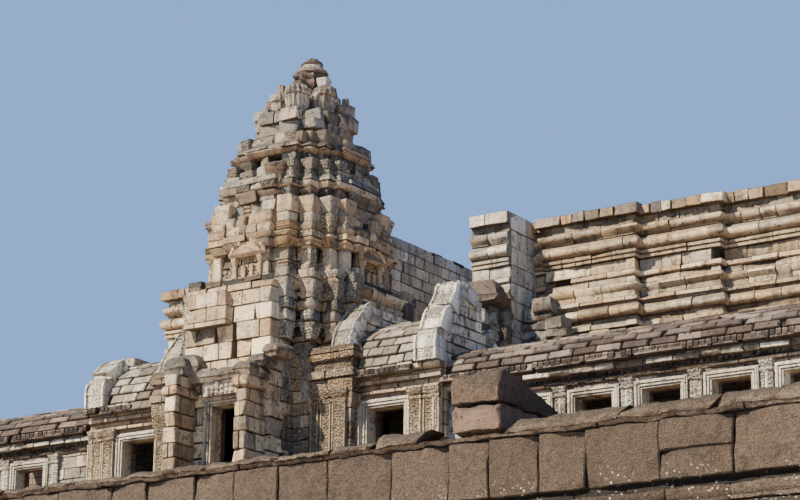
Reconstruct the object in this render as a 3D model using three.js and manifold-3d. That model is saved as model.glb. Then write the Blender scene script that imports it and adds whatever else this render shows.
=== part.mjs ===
// A ruined hindu temple: one side of a stepped stone pyramid.
// A moulded lower terrace carries an entrance tower with a porch, two roofed wings and two
// galleries, and behind them stands a tall upper terrace with its axial stair.
// Millimetres, +Z up, +X along the galleries, the porch faces -Y. Levels count from the ground.
import * as THREE from 'three';
import { mergeVertices } from 'three/addons/utils/BufferGeometryUtils.js';
import Module from 'manifold-3d';

const wasm = await Module();
wasm.setup();

// Driving dimensions
const COURT = 4050;              // paving of the lower terrace
const FLOOR = 5000;              // floor of the tower, wings and galleries
const COPING_TOP = 4200;
const APEX = 21000;              // top of the finial
const TERRACE = { x0: -15400, x1: 23300, y0: -9000, y1: 17500 };
const SHIFT_X = -(TERRACE.x0 + TERRACE.x1) / 2;   // brings the middle of the base to the origin
const SHIFT_Y = -(TERRACE.y0 + TERRACE.y1) / 2;

const CELLA = 1300;              // half width of the room in the tower
const TOWER_CORNERS = [[3300, 1500], [3000, 1500], [3000, 2100], [2450, 2100], [2450, 2700],
  [1800, 2700], [1800, 3300]];
const FORE_W = 1800, FORE_Y = 4050;               // plain block in front of the tower's face
const PORCH_Y = 5150, PORCH_IN = 1250, PORCH_WALL = 450;
const TOWER_DOOR_W = 1100, TOWER_DOOR_H = 2350;
const PASSAGE_W = 1300, PASSAGE_H = 2300;
const FINIAL_LEAN = 200;                          // the top stones have slipped to +X

const UNIT_X = 4100, UNIT_Y = 2600;               // first, higher part of a wing
const WING_X = 7500, WING_Y = 2200, WING_IN = 1450, WING_EAVE = 3300;
const GABLE_X = 6600;                             // back face of the end gable
const WING_DOOR_X = 5250, WING_DOOR_W = 1500, WING_DOOR_H = 2050;

const GAL_Y = 1900, GAL_IN = 1250, GAL_EAVE = 2800, GAL_RIDGE = 3880;
const BAY = 2370, FIRST_WINDOW = 10550, BAYS_RIGHT = 5, BAYS_LEFT = 2;
const WIN_W = 1350, WIN_SILL = 350, WIN_TOP = 1580;

const TIER_TOP = 16750, TIER_MID = 10550;         // the upper terrace has two tiers
const STAIR_W = 1950, STAIR_Y0 = 5900, STAIR_Y1 = 15500, STEPS = 38;
const FLANK_X = 3350;

// Materials
const stone = (color, roughness = 0.92) => new THREE.MeshStandardMaterial({ color, roughness,
  metalness: 0 });
const PALE = 0xb7a78a, TAN = 0xa8926d, GREY = 0x8d8577, DARK = 0x6a5d52, BROWN = 0x7d655a;

const temple = new THREE.Group();

// Solids
const toSolid = (positions, faces) => new wasm.Manifold(new wasm.Mesh({ numProp: 3,
  vertProperties: new Float32Array(positions), triVerts: new Uint32Array(faces) }));

// A closed skin over rings of points; each ring has the same outline order as outline2D.
function skin(rings, outline2D) {
  let flat = outline2D.map(p => new THREE.Vector2(...p));
  if (THREE.ShapeUtils.area(flat) < 0) {
    flat = flat.reverse();
    rings = rings.map(ring => [...ring].reverse());
  }
  const n = flat.length, positions = rings.flat(2), faces = [];
  const cap = THREE.ShapeUtils.triangulateShape(flat, []);
  const last = (rings.length - 1) * n;
  for (const [a, b, c] of cap) faces.push(c, b, a, last + a, last + b, last + c);
  for (let r = 0; r + 1 < rings.length; r++) {
    for (let i = 0; i < n; i++) {
      const a = r * n + i, b = r * n + (i + 1) % n;
      faces.push(a, b, b + n, a, b + n, a + n);
    }
  }
  return toSolid(positions, faces);
}

// Pushes every edge of a right-angled outline out by d.
function pushOut(outline, d) {
  const n = outline.length;
  const normal = (p, q) => {
    const l = Math.hypot(q[0] - p[0], q[1] - p[1]);
    return [(q[1] - p[1]) / l, (p[0] - q[0]) / l];
  };
  return outline.map((p, i) => {
    const a = normal(outline[(i + n - 1) % n], p), b = normal(p, outline[(i + 1) % n]);
    return [p[0] + d * (a[0] + b[0]), p[1] + d * (a[1] + b[1])];
  });
}

// A moulded mass: the outline is pushed out by each [offset, level] of the profile in turn.
const moulded = (outline, profile) => skin(
  profile.map(([d, z]) => pushOut(outline, d).map(([x, y]) => [x, y, z])), outline);

// A bar with a [y, z] outline that runs along X.
const barX = (outline, x0, x1) => skin([x0, x1].map(x => outline.map(([y, z]) => [x, y, z])),
  outline);

function box(x0, x1, y0, y1, z0, z1) {
  const g = new THREE.BoxGeometry(x1 - x0, y1 - y0, z1 - z0);
  g.translate((x0 + x1) / 2, (y0 + y1) / 2, (z0 + z1) / 2);
  return fromGeometry(g);
}

function fromGeometry(geometry) {
  geometry.deleteAttribute('normal');
  geometry.deleteAttribute('uv');
  const g = mergeVertices(geometry, 0.01);
  return toSolid(g.attributes.position.array, g.index.array);
}

const turned = (points, sides) => {
  const g = new THREE.LatheGeometry(points.map(p => new THREE.Vector2(...p)), sides);
  return fromGeometry(g.rotateX(Math.PI / 2));
};

const rect = (x0, x1, y0, y1) => [[x0, y0], [x1, y0], [x1, y1], [x0, y1]];
const lift = (profile, z) => profile.map(([d, h]) => [d, h + z]);

// The outline of a quarter is repeated round all four sides.
function fourSided(quarter) {
  const flip = (list, sx, sy) => list.map(([x, y]) => [x * sx, y * sy]);
  const back = [...quarter].reverse();
  return [...quarter, ...flip(back, -1, 1), ...flip(quarter, -1, -1), ...flip(back, 1, -1)];
}

function add(name, solid, material) {
  const { vertProperties, triVerts } = solid.getMesh();
  let g = new THREE.BufferGeometry();
  g.setAttribute('position', new THREE.BufferAttribute(new Float32Array(vertProperties), 3));
  g.setIndex(new THREE.BufferAttribute(new Uint32Array(triVerts), 1));
  g = g.toNonIndexed();
  g.computeVertexNormals();
  const mesh = new THREE.Mesh(g, material);
  mesh.name = name;
  mesh.position.set(SHIFT_X, SHIFT_Y, 0);
  temple.add(mesh);
}

// The same solid on the other side of the tower, with its faces turned back outwards.
function mirrored(solid) {
  const { vertProperties, triVerts } = solid.getMesh();
  const positions = Array.from(vertProperties, (v, i) => (i % 3 === 0 ? -v : v));
  const faces = [];
  for (let i = 0; i < triVerts.length; i += 3) {
    faces.push(triVerts[i], triVerts[i + 2], triVerts[i + 1]);
  }
  return toSolid(positions, faces);
}

// Lower terrace
const ground = rect(TERRACE.x0, TERRACE.x1, TERRACE.y0, TERRACE.y1);
add('terrace_foot', moulded(ground, [[300, 0], [300, 500], [220, 520], [220, 900], [150, 920],
  [220, 1000], [250, 1150], [220, 1300], [150, 1380], [180, 1400], [180, 1600], [-60, 1620],
  [-60, 2150]]), stone(BROWN));
add('terrace_wall', moulded(ground, [[0, 2150], [0, 3850]]), stone(BROWN));
add('terrace_coping', barX([[60, 3850], [110, 3900], [110, 4060], [60, 4150],
  [-60, COPING_TOP], [-720, COPING_TOP], [-800, 4150], [-800, 3850]]
  .map(([out, z]) => [TERRACE.y0 - out, z]), TERRACE.x0, TERRACE.x1), stone(BROWN));
add('terrace_court', box(TERRACE.x0, TERRACE.x1, TERRACE.y0 + 800, TERRACE.y1, 3850, COURT),
  stone(GREY));

// A fallen block stands on the coping in front of the right gallery.
add('loose_block', barX([[-9050, COPING_TOP], [-8950, 5850], [-8700, 5960], [-7800, 5900],
  [-7200, 5660], [-6300, 5430], [-5400, 5200], [-5250, 4700], [-5600, COURT], [-8200, COURT],
  [-8200, COPING_TOP]], 12100, 13800), stone(BROWN));

// Plinth under the tower, wings and galleries
const galleryEnd = side => FIRST_WINDOW + ((side > 0 ? BAYS_RIGHT : BAYS_LEFT) - 0.5) * BAY;
const GX1 = galleryEnd(1), GX0 = -galleryEnd(-1);
const halfPlinth = (x1, sign) => [[x1, sign * 2150], [WING_X + 150, sign * 2150],
  [WING_X + 150, sign * 2750], [3600, sign * 2750], [3600, sign * 3500], [2100, sign * 3500]];
const plinthOutline = [
  ...[[2100, -5350]],
  ...[...halfPlinth(GX1, -1)].reverse(),
  ...halfPlinth(GX1, 1),
  [2100, 4250], [-2100, 4250],
  ...[...halfPlinth(-GX0, 1)].reverse().map(([x, y]) => [-x, y]),
  ...halfPlinth(-GX0, -1).map(([x, y]) => [-x, y]),
  [-2100, -5350],
];
add('gallery_plinth', moulded(plinthOutline, [[150, COURT], [150, 4250], [60, 4280], [110, 4360],
  [110, 4460], [30, 4520], [30, 4640], [120, 4700], [150, 4760], [150, 4960], [120, FLOOR]]),
stone(GREY));

// Tower
const towerPlan = (scale, bay = 0, out = 0) => {
  const q = TOWER_CORNERS.map(([x, y]) => [x * scale, y * scale]);
  if (!bay) return fourSided(q);
  const fx = q[0][0], fy = q[q.length - 1][1];
  return fourSided([[fx + out, bay], [fx, bay], ...q, [bay, fy], [bay, fy + out]]);
};
const shaft = (half, z0, z1) => box(-half, half, -half, half, z0 - 10, z1 + 10);
const doorX = box(-5000, 5000, -PASSAGE_W / 2, PASSAGE_W / 2, FLOOR, FLOOR + PASSAGE_H);
const doorY = box(-TOWER_DOOR_W / 2, TOWER_DOOR_W / 2, -6000, 6000, FLOOR,
  FLOOR + TOWER_DOOR_H);

const BODY_TOP = 10900, CROWN_Z = 18550;
const body = moulded(towerPlan(1), lift([[130, 0], [130, 280], [70, 300], [110, 420],
  [110, 600], [0, 700], [0, 4500], [70, 4550], [70, 4700], [0, 4750], [0, 5000], [90, 5050],
  [90, 5300], [30, 5340], [30, 5560], [130, 5620], [130, BODY_TOP - FLOOR]], FLOOR));
const foreFront = box(-FORE_W, FORE_W, -FORE_Y, -2900, FLOOR, 11450);
const foreBack = box(-FORE_W, FORE_W, 2900, FORE_Y, FLOOR, 11450);
add('tower_body', body.subtract(shaft(CELLA, FLOOR, BODY_TOP)).subtract(doorX).subtract(doorY),
  stone(TAN));

// Upright stones stand on a cornice, in front of the next storey's wall.
function uprights(scale, z, height, half) {
  const stones = [];
  const spots = [[3300, 1150], [3300, -1150], [3000, 1800], [3000, -1800], [2450, 2400],
    [2450, -2400], [1450, 3300], [1450, -3300], [0, 3300], [0, -3300], [3300, 0]];
  for (const [x, y] of spots) {
    for (const side of x ? [1, -1] : [1]) {
      const cx = Math.sign(x) * side * (Math.abs(x) * scale - half);
      const cy = Math.sign(y) * (Math.abs(y) * scale - half);
      stones.push(skin([[z - 60, half], [z + height * 0.7, half], [z + height, half * 0.6]]
        .map(([level, h]) => rect(cx - h, cx + h, cy - h, cy + h)
          .map(([px, py]) => [px, py, level])), rect(-1, 1, -1, 1)));
    }
  }
  return stones;
}

// One storey: a redented wall with a false door on each face, a cornice and upright stones.
function storey(name, scale, z, wall, cornice, nextScale, voidHalf, colour, up = 0) {
  const bay = scale > 0.5 ? 950 * scale : 0;
  const top = z + wall + cornice;
  let solid = moulded(towerPlan(scale, bay, bay ? 170 : 0), lift([[60, 0], [60, 140], [0, 160],
    [0, wall - 120], [130, wall], [130, wall + cornice * 0.35], [60, wall + cornice * 0.4],
    [160, wall + cornice * 0.6], [120, wall + cornice]], z));
  if (up) {
    const half = Math.min(230, (3300 * (scale - nextScale) + 120) / 2 - 20);
    for (const s of uprights(scale + 110 / 3300, top, up, half)) solid = solid.add(s);
  }
  solid = solid.subtract(shaft(voidHalf, z, top + 1500));
  if (up) {
    const nextBay = nextScale > 0.5 ? 950 * nextScale : 0;
    solid = solid.subtract(moulded(towerPlan(nextScale, nextBay, 170),
      [[61, top], [61, top + 2000]]));
  }
  add(name, solid, stone(colour));
}

const cornice1 = moulded(towerPlan(1), lift([[130, 0], [190, 120], [190, 320], [120, 360],
  [230, 560], [230, 760], [120, 800], [60, 1000]], BODY_TOP));
add('tower_cornice', cornice1.subtract(shaft(1150, BODY_TOP, 11900)).subtract(foreFront)
  .subtract(foreBack), stone(TAN));
storey('tower_storey_2', 0.85, 11900, 1150, 850, 0.73, 1000, TAN, 1000);
storey('tower_storey_3', 0.73, 13900, 1200, 650, 0.61, 850, GREY, 850);
storey('tower_storey_4', 0.61, 15750, 1050, 300, 0.5, 700, GREY);
add('tower_storey_5', moulded(towerPlan(0.5), [[0, 17100], [0, 17600], [-300, 17620],
  [-300, 18120], [-100, 18160], [-40, 18300], [-60, CROWN_Z]]).subtract(
  shaft(450, 17100, CROWN_Z)), stone(GREY));

// Lotus crown: a ring of upright bud stones round a core, then the ribbed neck and finial.
let crown = turned([[0, 0], [1150, 0], [1150, 120], [760, 200], [760, 900], [620, 1060],
  [0, 1060]], 24).translate([0, 0, CROWN_Z]);
for (let i = 0; i < 8; i++) {
  const a = (i + 0.5) * Math.PI / 4;
  const bud = fromGeometry(new THREE.SphereGeometry(1, 10, 6).rotateX(Math.PI / 2)
    .scale(380, 380, 520).translate(830 * Math.cos(a), 830 * Math.sin(a), CROWN_Z + 560));
  crown = crown.add(bud);
}
add('lotus_crown', crown, stone(GREY));
add('crown_finial', turned([[0, 0], [600, 0], [640, 180], [520, 330], [560, 480], [560, 640],
  [400, 760], [420, 900], [400, 1040], [220, 1120], [260, 1240], [200, 1360],
  [0, APEX - CROWN_Z - 1060]], 20).translate([FINIAL_LEAN, 0, CROWN_Z + 1060]), stone(GREY));

// Plain blocks in front of and behind the tower, each with its doorway.
add('front_projection', foreFront.subtract(body).subtract(doorY), stone(PALE));
add('back_projection', foreBack.subtract(body).subtract(doorY), stone(PALE));

// Porch
for (const [name, side] of [['porch_wall_left', -1], ['porch_wall_right', 1]]) {
  const x0 = side * PORCH_IN, x1 = side * (PORCH_IN + PORCH_WALL);
  const outline = rect(Math.min(x0, x1), Math.max(x0, x1), -PORCH_Y, -FORE_Y);
  const top = side < 0 ? 3350 : 3000;
  add(name, moulded(outline, lift([[0, 0], [0, top - 380], [0, top]], FLOOR)), stone(PALE));
}
add('porch_lintel', box(-PORCH_IN - PORCH_WALL, PORCH_IN - 300, -FORE_Y - 500, -FORE_Y,
  FLOOR + 3350, FLOOR + 3900).add(box(-PORCH_IN, PORCH_IN - 300, -FORE_Y - 420, -FORE_Y,
  FLOOR + 2750, FLOOR + 3350)), stone(TAN));
const frameRing = (x, y0, y1, w, h, border, z) => box(x - w / 2 - border, x + w / 2 + border,
  y0, y1, z, z + h + border).subtract(box(x - w / 2, x + w / 2, y0 - 50, y1 + 50, z - 50, z + h));
add('front_door_frame', frameRing(0, -FORE_Y - 180, -FORE_Y, TOWER_DOOR_W, TOWER_DOOR_H, 300,
  FLOOR), stone(PALE));

// Wings
const vault = (half, ridge, eave, lip) => [[half, eave], [half, eave + lip],
  [half * 0.93, eave + (ridge - eave) * 0.33], [half * 0.78, eave + (ridge - eave) * 0.6],
  [half * 0.5, eave + (ridge - eave) * 0.85], [half * 0.2, ridge], [-half * 0.2, ridge],
  [-half * 0.5, eave + (ridge - eave) * 0.85], [-half * 0.78, eave + (ridge - eave) * 0.6],
  [-half * 0.93, eave + (ridge - eave) * 0.33], [-half, eave + lip], [-half, eave]];
const raised = (outline, z) => outline.map(([y, h]) => [y, h + z]);
// The stepped hollow under a corbelled vault.
const hollow = (half, eave, rise, x0, x1) => [0, 1, 2].map(i => box(x0, x1,
  -half * (1 - i * 0.28), half * (1 - i * 0.28), FLOOR + eave + i * rise / 3 - 1,
  FLOOR + eave + (i + 1) * rise / 3)).reduce((a, b) => a.add(b));

// A long wall with a moulded foot and cornice; its outer face looks to -Y or +Y.
function longWall(side, outer, inner, eave, x0, x1) {
  const face = [[outer + 110, 0], [outer + 110, 220], [outer + 50, 250], [outer + 50, 330],
    [outer, 360], [outer, eave - 850], [outer + 60, eave - 820], [outer + 60, eave - 720],
    [outer, eave - 690], [outer, eave - 560], [outer + 130, eave - 500], [outer + 130, eave - 380],
    [outer + 60, eave - 350], [outer + 60, eave - 250], [outer + 190, eave - 160],
    [outer + 190, eave], [inner, eave], [inner, 0]];
  const outline = face.map(([y, z]) => [side * y, z + FLOOR]);
  return barX(outline, x0, x1);
}

const wingSolids = {};
let unit = box(2300, UNIT_X, -UNIT_Y, UNIT_Y, FLOOR, FLOOR + 3100)
  .add(box(2300, UNIT_X, -UNIT_Y - 140, UNIT_Y + 140, FLOOR + 3100, FLOOR + 3400))
  .add(box(2300, UNIT_X, -UNIT_Y - 40, UNIT_Y + 40, FLOOR + 3400, FLOOR + 3700))
  .add(box(2300, UNIT_X, -UNIT_Y - 180, UNIT_Y + 180, FLOOR + 3700, FLOOR + 4200))
  .add(box(2300, UNIT_X, -UNIT_Y - 100, UNIT_Y + 100, FLOOR, FLOOR + 300));
unit = unit.subtract(moulded(towerPlan(1), [[131, FLOOR - 10], [131, FLOOR + 5000]]))
  .subtract(box(2000, UNIT_X + 10, -PASSAGE_W / 2, PASSAGE_W / 2, FLOOR - 10,
    FLOOR + PASSAGE_H));
wingSolids.unit = unit;

wingSolids.upper_gable = barX(raised([[2600, 4200], [2600, 4350], [2300, 4950], [2000, 5350],
  [1600, 5350], [1500, 5860], [600, 5780], [500, 5200], [-600, 5250], [-700, 5750],
  [-1500, 5860], [-1600, 5400], [-2000, 5350], [-2300, 4950], [-2600, 4350], [-2600, 4200]],
FLOOR), 3300, UNIT_X).subtract(moulded(towerPlan(1), [[131, 9000], [131, 12000]]));

const doorBox = box(WING_DOOR_X - WING_DOOR_W / 2, WING_DOOR_X + WING_DOOR_W / 2, -4000, 0,
  FLOOR, FLOOR + WING_DOOR_H);
wingSolids.front_wall = longWall(-1, WING_Y, WING_IN, WING_EAVE, UNIT_X, WING_X)
  .subtract(doorBox);
wingSolids.back_wall = longWall(1, WING_Y, WING_IN, WING_EAVE, UNIT_X, WING_X);
wingSolids.door_frame = frameRing(WING_DOOR_X, -WING_Y - 160, -WING_Y, WING_DOOR_W,
  WING_DOOR_H, 260, FLOOR).subtract(longWall(-1, WING_Y, WING_IN, WING_EAVE, UNIT_X, WING_X));
wingSolids.roof = barX(raised(vault(2390, 5200, WING_EAVE, 180), FLOOR), UNIT_X, GABLE_X)
  .subtract(hollow(WING_IN, WING_EAVE, 1300, UNIT_X - 10, GABLE_X + 10));
// What is left of the end gable's curved outline on each wing, as [y, level above the floor].
const END_GABLE = {
  right: [[2600, 3300], [2200, 3900], [1600, 4300], [900, 4500], [700, 4800], [200, 4900],
    [200, 5850], [-700, 6200], [-1350, 6150], [-1400, 5750], [-1950, 5200], [-2200, 4600],
    [-2600, 4350], [-2600, 3300]],
  left: [[2600, 3300], [2500, 4100], [2000, 4700], [1300, 5150], [200, 5500], [-600, 5350],
    [-1300, 5300], [-1900, 4950], [-2300, 4600], [-2600, 4450], [-2600, 3300]],
};
const endGable = word => barX(raised(END_GABLE[word], FLOOR), GABLE_X, WING_X)
  .subtract(hollow(WING_IN, WING_EAVE, 1300, GABLE_X - 10, WING_X + 10));

// Galleries
function gallery(side) {
  const n = side > 0 ? BAYS_RIGHT : BAYS_LEFT, end = galleryEnd(side);
  const out = {};
  let front = longWall(-1, GAL_Y, GAL_IN, GAL_EAVE, WING_X, end);
  for (let i = 0; i < n; i++) {
    const x = FIRST_WINDOW + i * BAY, b = 250;
    front = front.add(box(x - WIN_W / 2 - b, x + WIN_W / 2 + b, -GAL_Y - 90, -GAL_IN,
      FLOOR + WIN_SILL - b, FLOOR + WIN_TOP + b));
  }
  for (let i = 0; i < n; i++) {
    const x = FIRST_WINDOW + i * BAY;
    front = front.subtract(box(x - WIN_W / 2, x + WIN_W / 2, -3000, 0, FLOOR + WIN_SILL,
      FLOOR + WIN_TOP));
  }
  out.front_wall = front;
  out.back_wall = longWall(1, GAL_Y, GAL_IN, GAL_EAVE, WING_X, end);
  out.roof = barX(raised(vault(GAL_Y + 210, GAL_RIDGE, GAL_EAVE, 160), FLOOR), WING_X, end)
    .subtract(hollow(GAL_IN, GAL_EAVE, 850, WING_X - 10, end + 10));
  return out;
}

for (const side of [1, -1]) {
  const word = side > 0 ? 'right' : 'left';
  const place = s => (side > 0 ? s : mirrored(s));
  const looks = { unit: TAN, upper_gable: PALE, front_wall: TAN, back_wall: TAN,
    door_frame: PALE, roof: GREY, end_gable: PALE };
  const wing = { ...wingSolids, end_gable: endGable(word) };
  for (const [part, solid] of Object.entries(wing)) {
    add(`wing_${word}_${part}`, place(solid), stone(looks[part]));
  }
  for (const [part, solid] of Object.entries(gallery(side))) {
    add(`gallery_${word}_${part}`, place(solid), stone(part === 'roof' ? DARK : TAN));
  }
}

// Upper terrace, stair and flanks
const tierProfile = (z0, z1) => [[300, 0], [300, 0.12], [160, 0.125], [160, 0.16], [60, 0.165],
  [60, 0.21], [170, 0.225], [230, 0.26], [170, 0.3], [60, 0.315], [120, 0.32], [120, 0.37],
  [0, 0.38], [0, 0.45], [80, 0.46], [80, 0.54], [0, 0.55], [0, 0.62], [120, 0.63],
  [120, 0.68], [60, 0.685], [170, 0.7], [230, 0.74], [170, 0.775], [60, 0.79], [60, 0.835],
  [120, 0.84], [120, 0.88], [250, 0.885], [250, 1]].map(([d, t]) => [d, z0 + t * (z1 - z0)]);
const tierOutline = (w, front, back, step) => [[-w, front + 2 * step], [-11400, front + 2 * step],
  [-11400, front + step], [-8100, front + step], [-8100, front], [-4300, front],
  [-4300, front + step], [4300, front + step], [4300, front], [8100, front],
  [8100, front + step], [11400, front + step], [11400, front + 2 * step],
  [w, front + 2 * step], [w, back], [-w, back]];
const slot = box(-STAIR_W, STAIR_W, STAIR_Y0 - 3000, STAIR_Y1, COURT - 10, TIER_TOP + 10);
const lowerTier = moulded(tierOutline(15000, 8700, 16300, 350), tierProfile(COURT, TIER_MID));
const upperTier = moulded(tierOutline(14700, 9800, 15950, 400), tierProfile(TIER_MID, TIER_TOP));
add('upper_terrace_lower_tier', lowerTier.subtract(slot), stone(TAN));
add('upper_terrace_upper_tier', upperTier.subtract(slot), stone(TAN));

const rise = (TIER_TOP - COURT) / STEPS, run = (STAIR_Y1 - STAIR_Y0) / STEPS;
const steps = [[STAIR_Y0, COURT]];
for (let i = 0; i < STEPS; i++) {
  const y = STAIR_Y0 + i * run, z = COURT + (i + 1) * rise;
  steps.push([y, z], [i + 1 < STEPS ? y + run : STAIR_Y1, z]);
}
add('axial_stair', barX([...steps, [STAIR_Y1, COURT]], -STAIR_W, STAIR_W), stone(GREY));

for (const [word, side] of [['left', -1], ['right', 1]]) {
  const outline = (y0, y1) => (side > 0 ? rect(STAIR_W, FLANK_X, y0, y1)
    : rect(-FLANK_X, -STAIR_W, y0, y1));
  const low = moulded(outline(6700, 9300), tierProfile(COURT, TIER_MID)).subtract(slot)
    .subtract(lowerTier);
  const high = moulded(outline(8350, 10800), tierProfile(TIER_MID, TIER_TOP)).subtract(slot)
    .subtract(upperTier);
  add(`stair_flank_${word}_lower`, low, stone(PALE));
  add(`stair_flank_${word}_upper`, high, stone(PALE));
}

export default temple;
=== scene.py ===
# %% [markdown]
# A ruined Hindu temple of the stepped pyramid kind, seen from low in front of one of its sides.
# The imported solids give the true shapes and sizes. This script lays the separate stones over
# them, carves the crown, frames and gables, and gives every surface a weathered sandstone.
# All lengths are in metres, and levels count from the ground. The noise that makes the stones
# waver gets a seed here, because it would otherwise take one from the clock.

# %% Load the solids
import math
import random
import bpy
from mathutils import Matrix, Vector, noise


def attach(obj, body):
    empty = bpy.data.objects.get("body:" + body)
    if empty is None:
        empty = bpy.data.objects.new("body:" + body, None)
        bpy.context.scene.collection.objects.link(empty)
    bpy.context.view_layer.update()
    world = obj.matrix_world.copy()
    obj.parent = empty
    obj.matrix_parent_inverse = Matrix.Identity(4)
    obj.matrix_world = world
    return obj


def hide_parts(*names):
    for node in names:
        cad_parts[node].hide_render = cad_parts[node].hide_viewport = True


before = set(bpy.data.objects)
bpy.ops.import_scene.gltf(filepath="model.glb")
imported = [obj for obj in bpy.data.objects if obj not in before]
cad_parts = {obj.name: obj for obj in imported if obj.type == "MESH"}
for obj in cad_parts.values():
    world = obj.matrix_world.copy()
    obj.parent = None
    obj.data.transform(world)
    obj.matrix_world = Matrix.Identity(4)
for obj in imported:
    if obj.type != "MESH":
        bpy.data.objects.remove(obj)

NOISE_SEED = 5
noise.seed_set(NOISE_SEED)
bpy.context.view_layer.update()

# %% [markdown]
# The photographer stood far off and low, and used a long lens. A camera is a place and three
# axes. The axes come from how far the view is turned, tipped up and rolled, so the numbers say
# what the photographer did. Placing it by eye would need many tries.

# %% Camera
TURN, TIP, ROLL = math.radians(34), math.radians(16.2), math.radians(0.67)
STANDS_AT = Vector((44.748, -70.157, -10.014))
LENS_MM, FILM_MM, SIGHT = 108, 36, 500


def placed(name, data):
    """A new object in the scene."""
    thing = bpy.data.objects.new(name, data)
    bpy.context.scene.collection.objects.link(thing)
    return thing


ahead = Vector((-math.sin(TURN) * math.cos(TIP), math.cos(TURN) * math.cos(TIP), math.sin(TIP)))
level = Vector((math.cos(TURN), math.sin(TURN), 0))
upright = level.cross(ahead)
right = level * math.cos(ROLL) + upright * math.sin(ROLL)
above = upright * math.cos(ROLL) - level * math.sin(ROLL)
lens = bpy.data.cameras.new("camera")
lens.lens = LENS_MM
lens.sensor_width = FILM_MM
lens.clip_end = SIGHT
camera = placed("camera", lens)
axes = Matrix((right, above, -ahead)).transposed()
camera.matrix_world = Matrix.Translation(STANDS_AT) @ axes.to_4x4()
bpy.context.scene.camera = camera
print("camera", tuple(round(v, 2) for v in STANDS_AT))

# %% [markdown]
# Sunlight comes from high on the left of the front, so the fronts are bright and the right
# sides lie in shade. A sun lamp with a wide disc gives one clear but soft shadow, and the blue
# sky fills the shade. Many small lamps would give many shadows.

# %% Light
TO_SUN = Vector((-0.365, -0.561, 0.743))
SUN_STRENGTH, SUN_DISC, SUN_COLOUR = 17.0, math.radians(1.5), (1.0, 0.9, 0.71)
SKY_STRENGTH, SKY_COLOUR = 1.02, (0.28, 0.5, 1.0, 1)
lamp = bpy.data.lights.new("sun", "SUN")
lamp.energy = SUN_STRENGTH
lamp.angle = SUN_DISC
lamp.color = SUN_COLOUR
placed("sun", lamp).rotation_euler = TO_SUN.to_track_quat("Z", "Y").to_euler()
sky = bpy.data.worlds.new("studio")
sky.use_nodes = True
backdrop = sky.node_tree.nodes["Background"].inputs
backdrop["Color"].default_value = SKY_COLOUR
backdrop["Strength"].default_value = SKY_STRENGTH
bpy.context.scene.world = sky
print("sun towards", tuple(TO_SUN))

# %% [markdown]
# The floor is a plain pale sheet, and it is no part of the temple. The photographer stood lower
# than the foot of the wall, so a common floor would hide everything. This one is clear where its
# underside is seen, and plain where its top is seen.

# %% Floor
FLOOR_HALF, FLOOR_COLOUR = 90, (0.62, 0.59, 0.54, 1)
SQUARE = ((-1, -1), (1, -1), (1, 1), (-1, 1))


def node_maker(tree):
    """A short way to add a node. An input that is a socket becomes a link, any other a value."""
    def make(kind, inputs=None, **settings):
        node = tree.nodes.new(kind)
        for key, value in settings.items():
            setattr(node, key, value)
        for key, value in (inputs or {}).items():
            if isinstance(value, bpy.types.NodeSocket):
                tree.links.new(value, node.inputs[key])
            else:
                node.inputs[key].default_value = value
        return node
    return make


def floor_material():
    material = bpy.data.materials.new("pale_floor")
    material.use_nodes = True
    material.node_tree.nodes.clear()
    make = node_maker(material.node_tree)
    underside = make("ShaderNodeNewGeometry").outputs["Backfacing"]
    top = make("ShaderNodeBsdfDiffuse", {"Color": FLOOR_COLOUR}).outputs[0]
    clear = make("ShaderNodeBsdfTransparent").outputs[0]
    both = make("ShaderNodeMixShader", {0: underside, 1: top, 2: clear}).outputs[0]
    make("ShaderNodeOutputMaterial", {"Surface": both})
    return material


floor_mesh = bpy.data.meshes.new("floor")
floor_mesh.from_pydata([(x * FLOOR_HALF, y * FLOOR_HALF, 0) for x, y in SQUARE], [], [(0, 1, 2, 3)])
floor_mesh.materials.append(floor_material())
floor = placed("floor", floor_mesh)
print("floor", FLOOR_HALF * 2, "m wide")

# %% [markdown]
# Sandstone is one recipe with different colours. Each block has its own tone, held in an
# attribute of its points. Broad noise gives stains, middle noise gives blotches and fine noise
# gives grain. Black lichen grows where a face looks up, and rain leaves dark streaks. Faces that
# look down get a warm colour as painted bounce light, and a mark on the points paints shade in
# the joints and grooves. A photo of stone would repeat itself and would not follow the blocks.
# These helpers are the steps that the recipe repeats.

# %% Steps of a recipe
def reckon(make, operation, a, b=0.0):
    """Arithmetic on two sockets or numbers."""
    return make("ShaderNodeMath", {0: a, 1: b}, operation=operation).outputs[0]


def ramp(make, source, stops):
    """Colours from low values to high ones."""
    node = make("ShaderNodeValToRGB", {0: source})
    band = node.color_ramp
    while len(band.elements) < len(stops):
        band.elements.new(0.5)
    for element, (place, colour) in zip(band.elements, stops):
        element.position = place
        element.color = (*colour, 1)
    return node.outputs[0]


def between(make, source, low, high, out_low=0.0, out_high=1.0):
    """The source from low to high, stretched to another range and held at its ends."""
    return make("ShaderNodeMapRange", {"Value": source, "From Min": low, "From Max": high,
                                       "To Min": out_low, "To Max": out_high}).outputs[0]


def blended(make, share, a, b):
    """A share of colour b laid over colour a. A plain colour gets its alpha here."""
    a, b = ((*c, 1) if isinstance(c, tuple) else c for c in (a, b))
    return make("ShaderNodeMix", {0: share, 6: a, 7: b}, data_type="RGBA").outputs[2]


def dimmed(colour, share):
    return tuple(c * share for c in colour)


def spots(make, place, scale, far, near, randomness=1.0):
    """Cells that go from 0 at the far distance to 1 at the near one."""
    cells = make("ShaderNodeTexVoronoi", {"Scale": scale, "Randomness": randomness, "Vector": place})
    return between(make, cells.outputs["Distance"], far, near)


# %% [markdown]
# Some surfaces have no laid stones, such as the rooms and the heart behind the walls. Joint
# lines are drawn on them. A brick texture is flat, so the wall's own run and rise are picked
# for it from the way each face looks.

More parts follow.
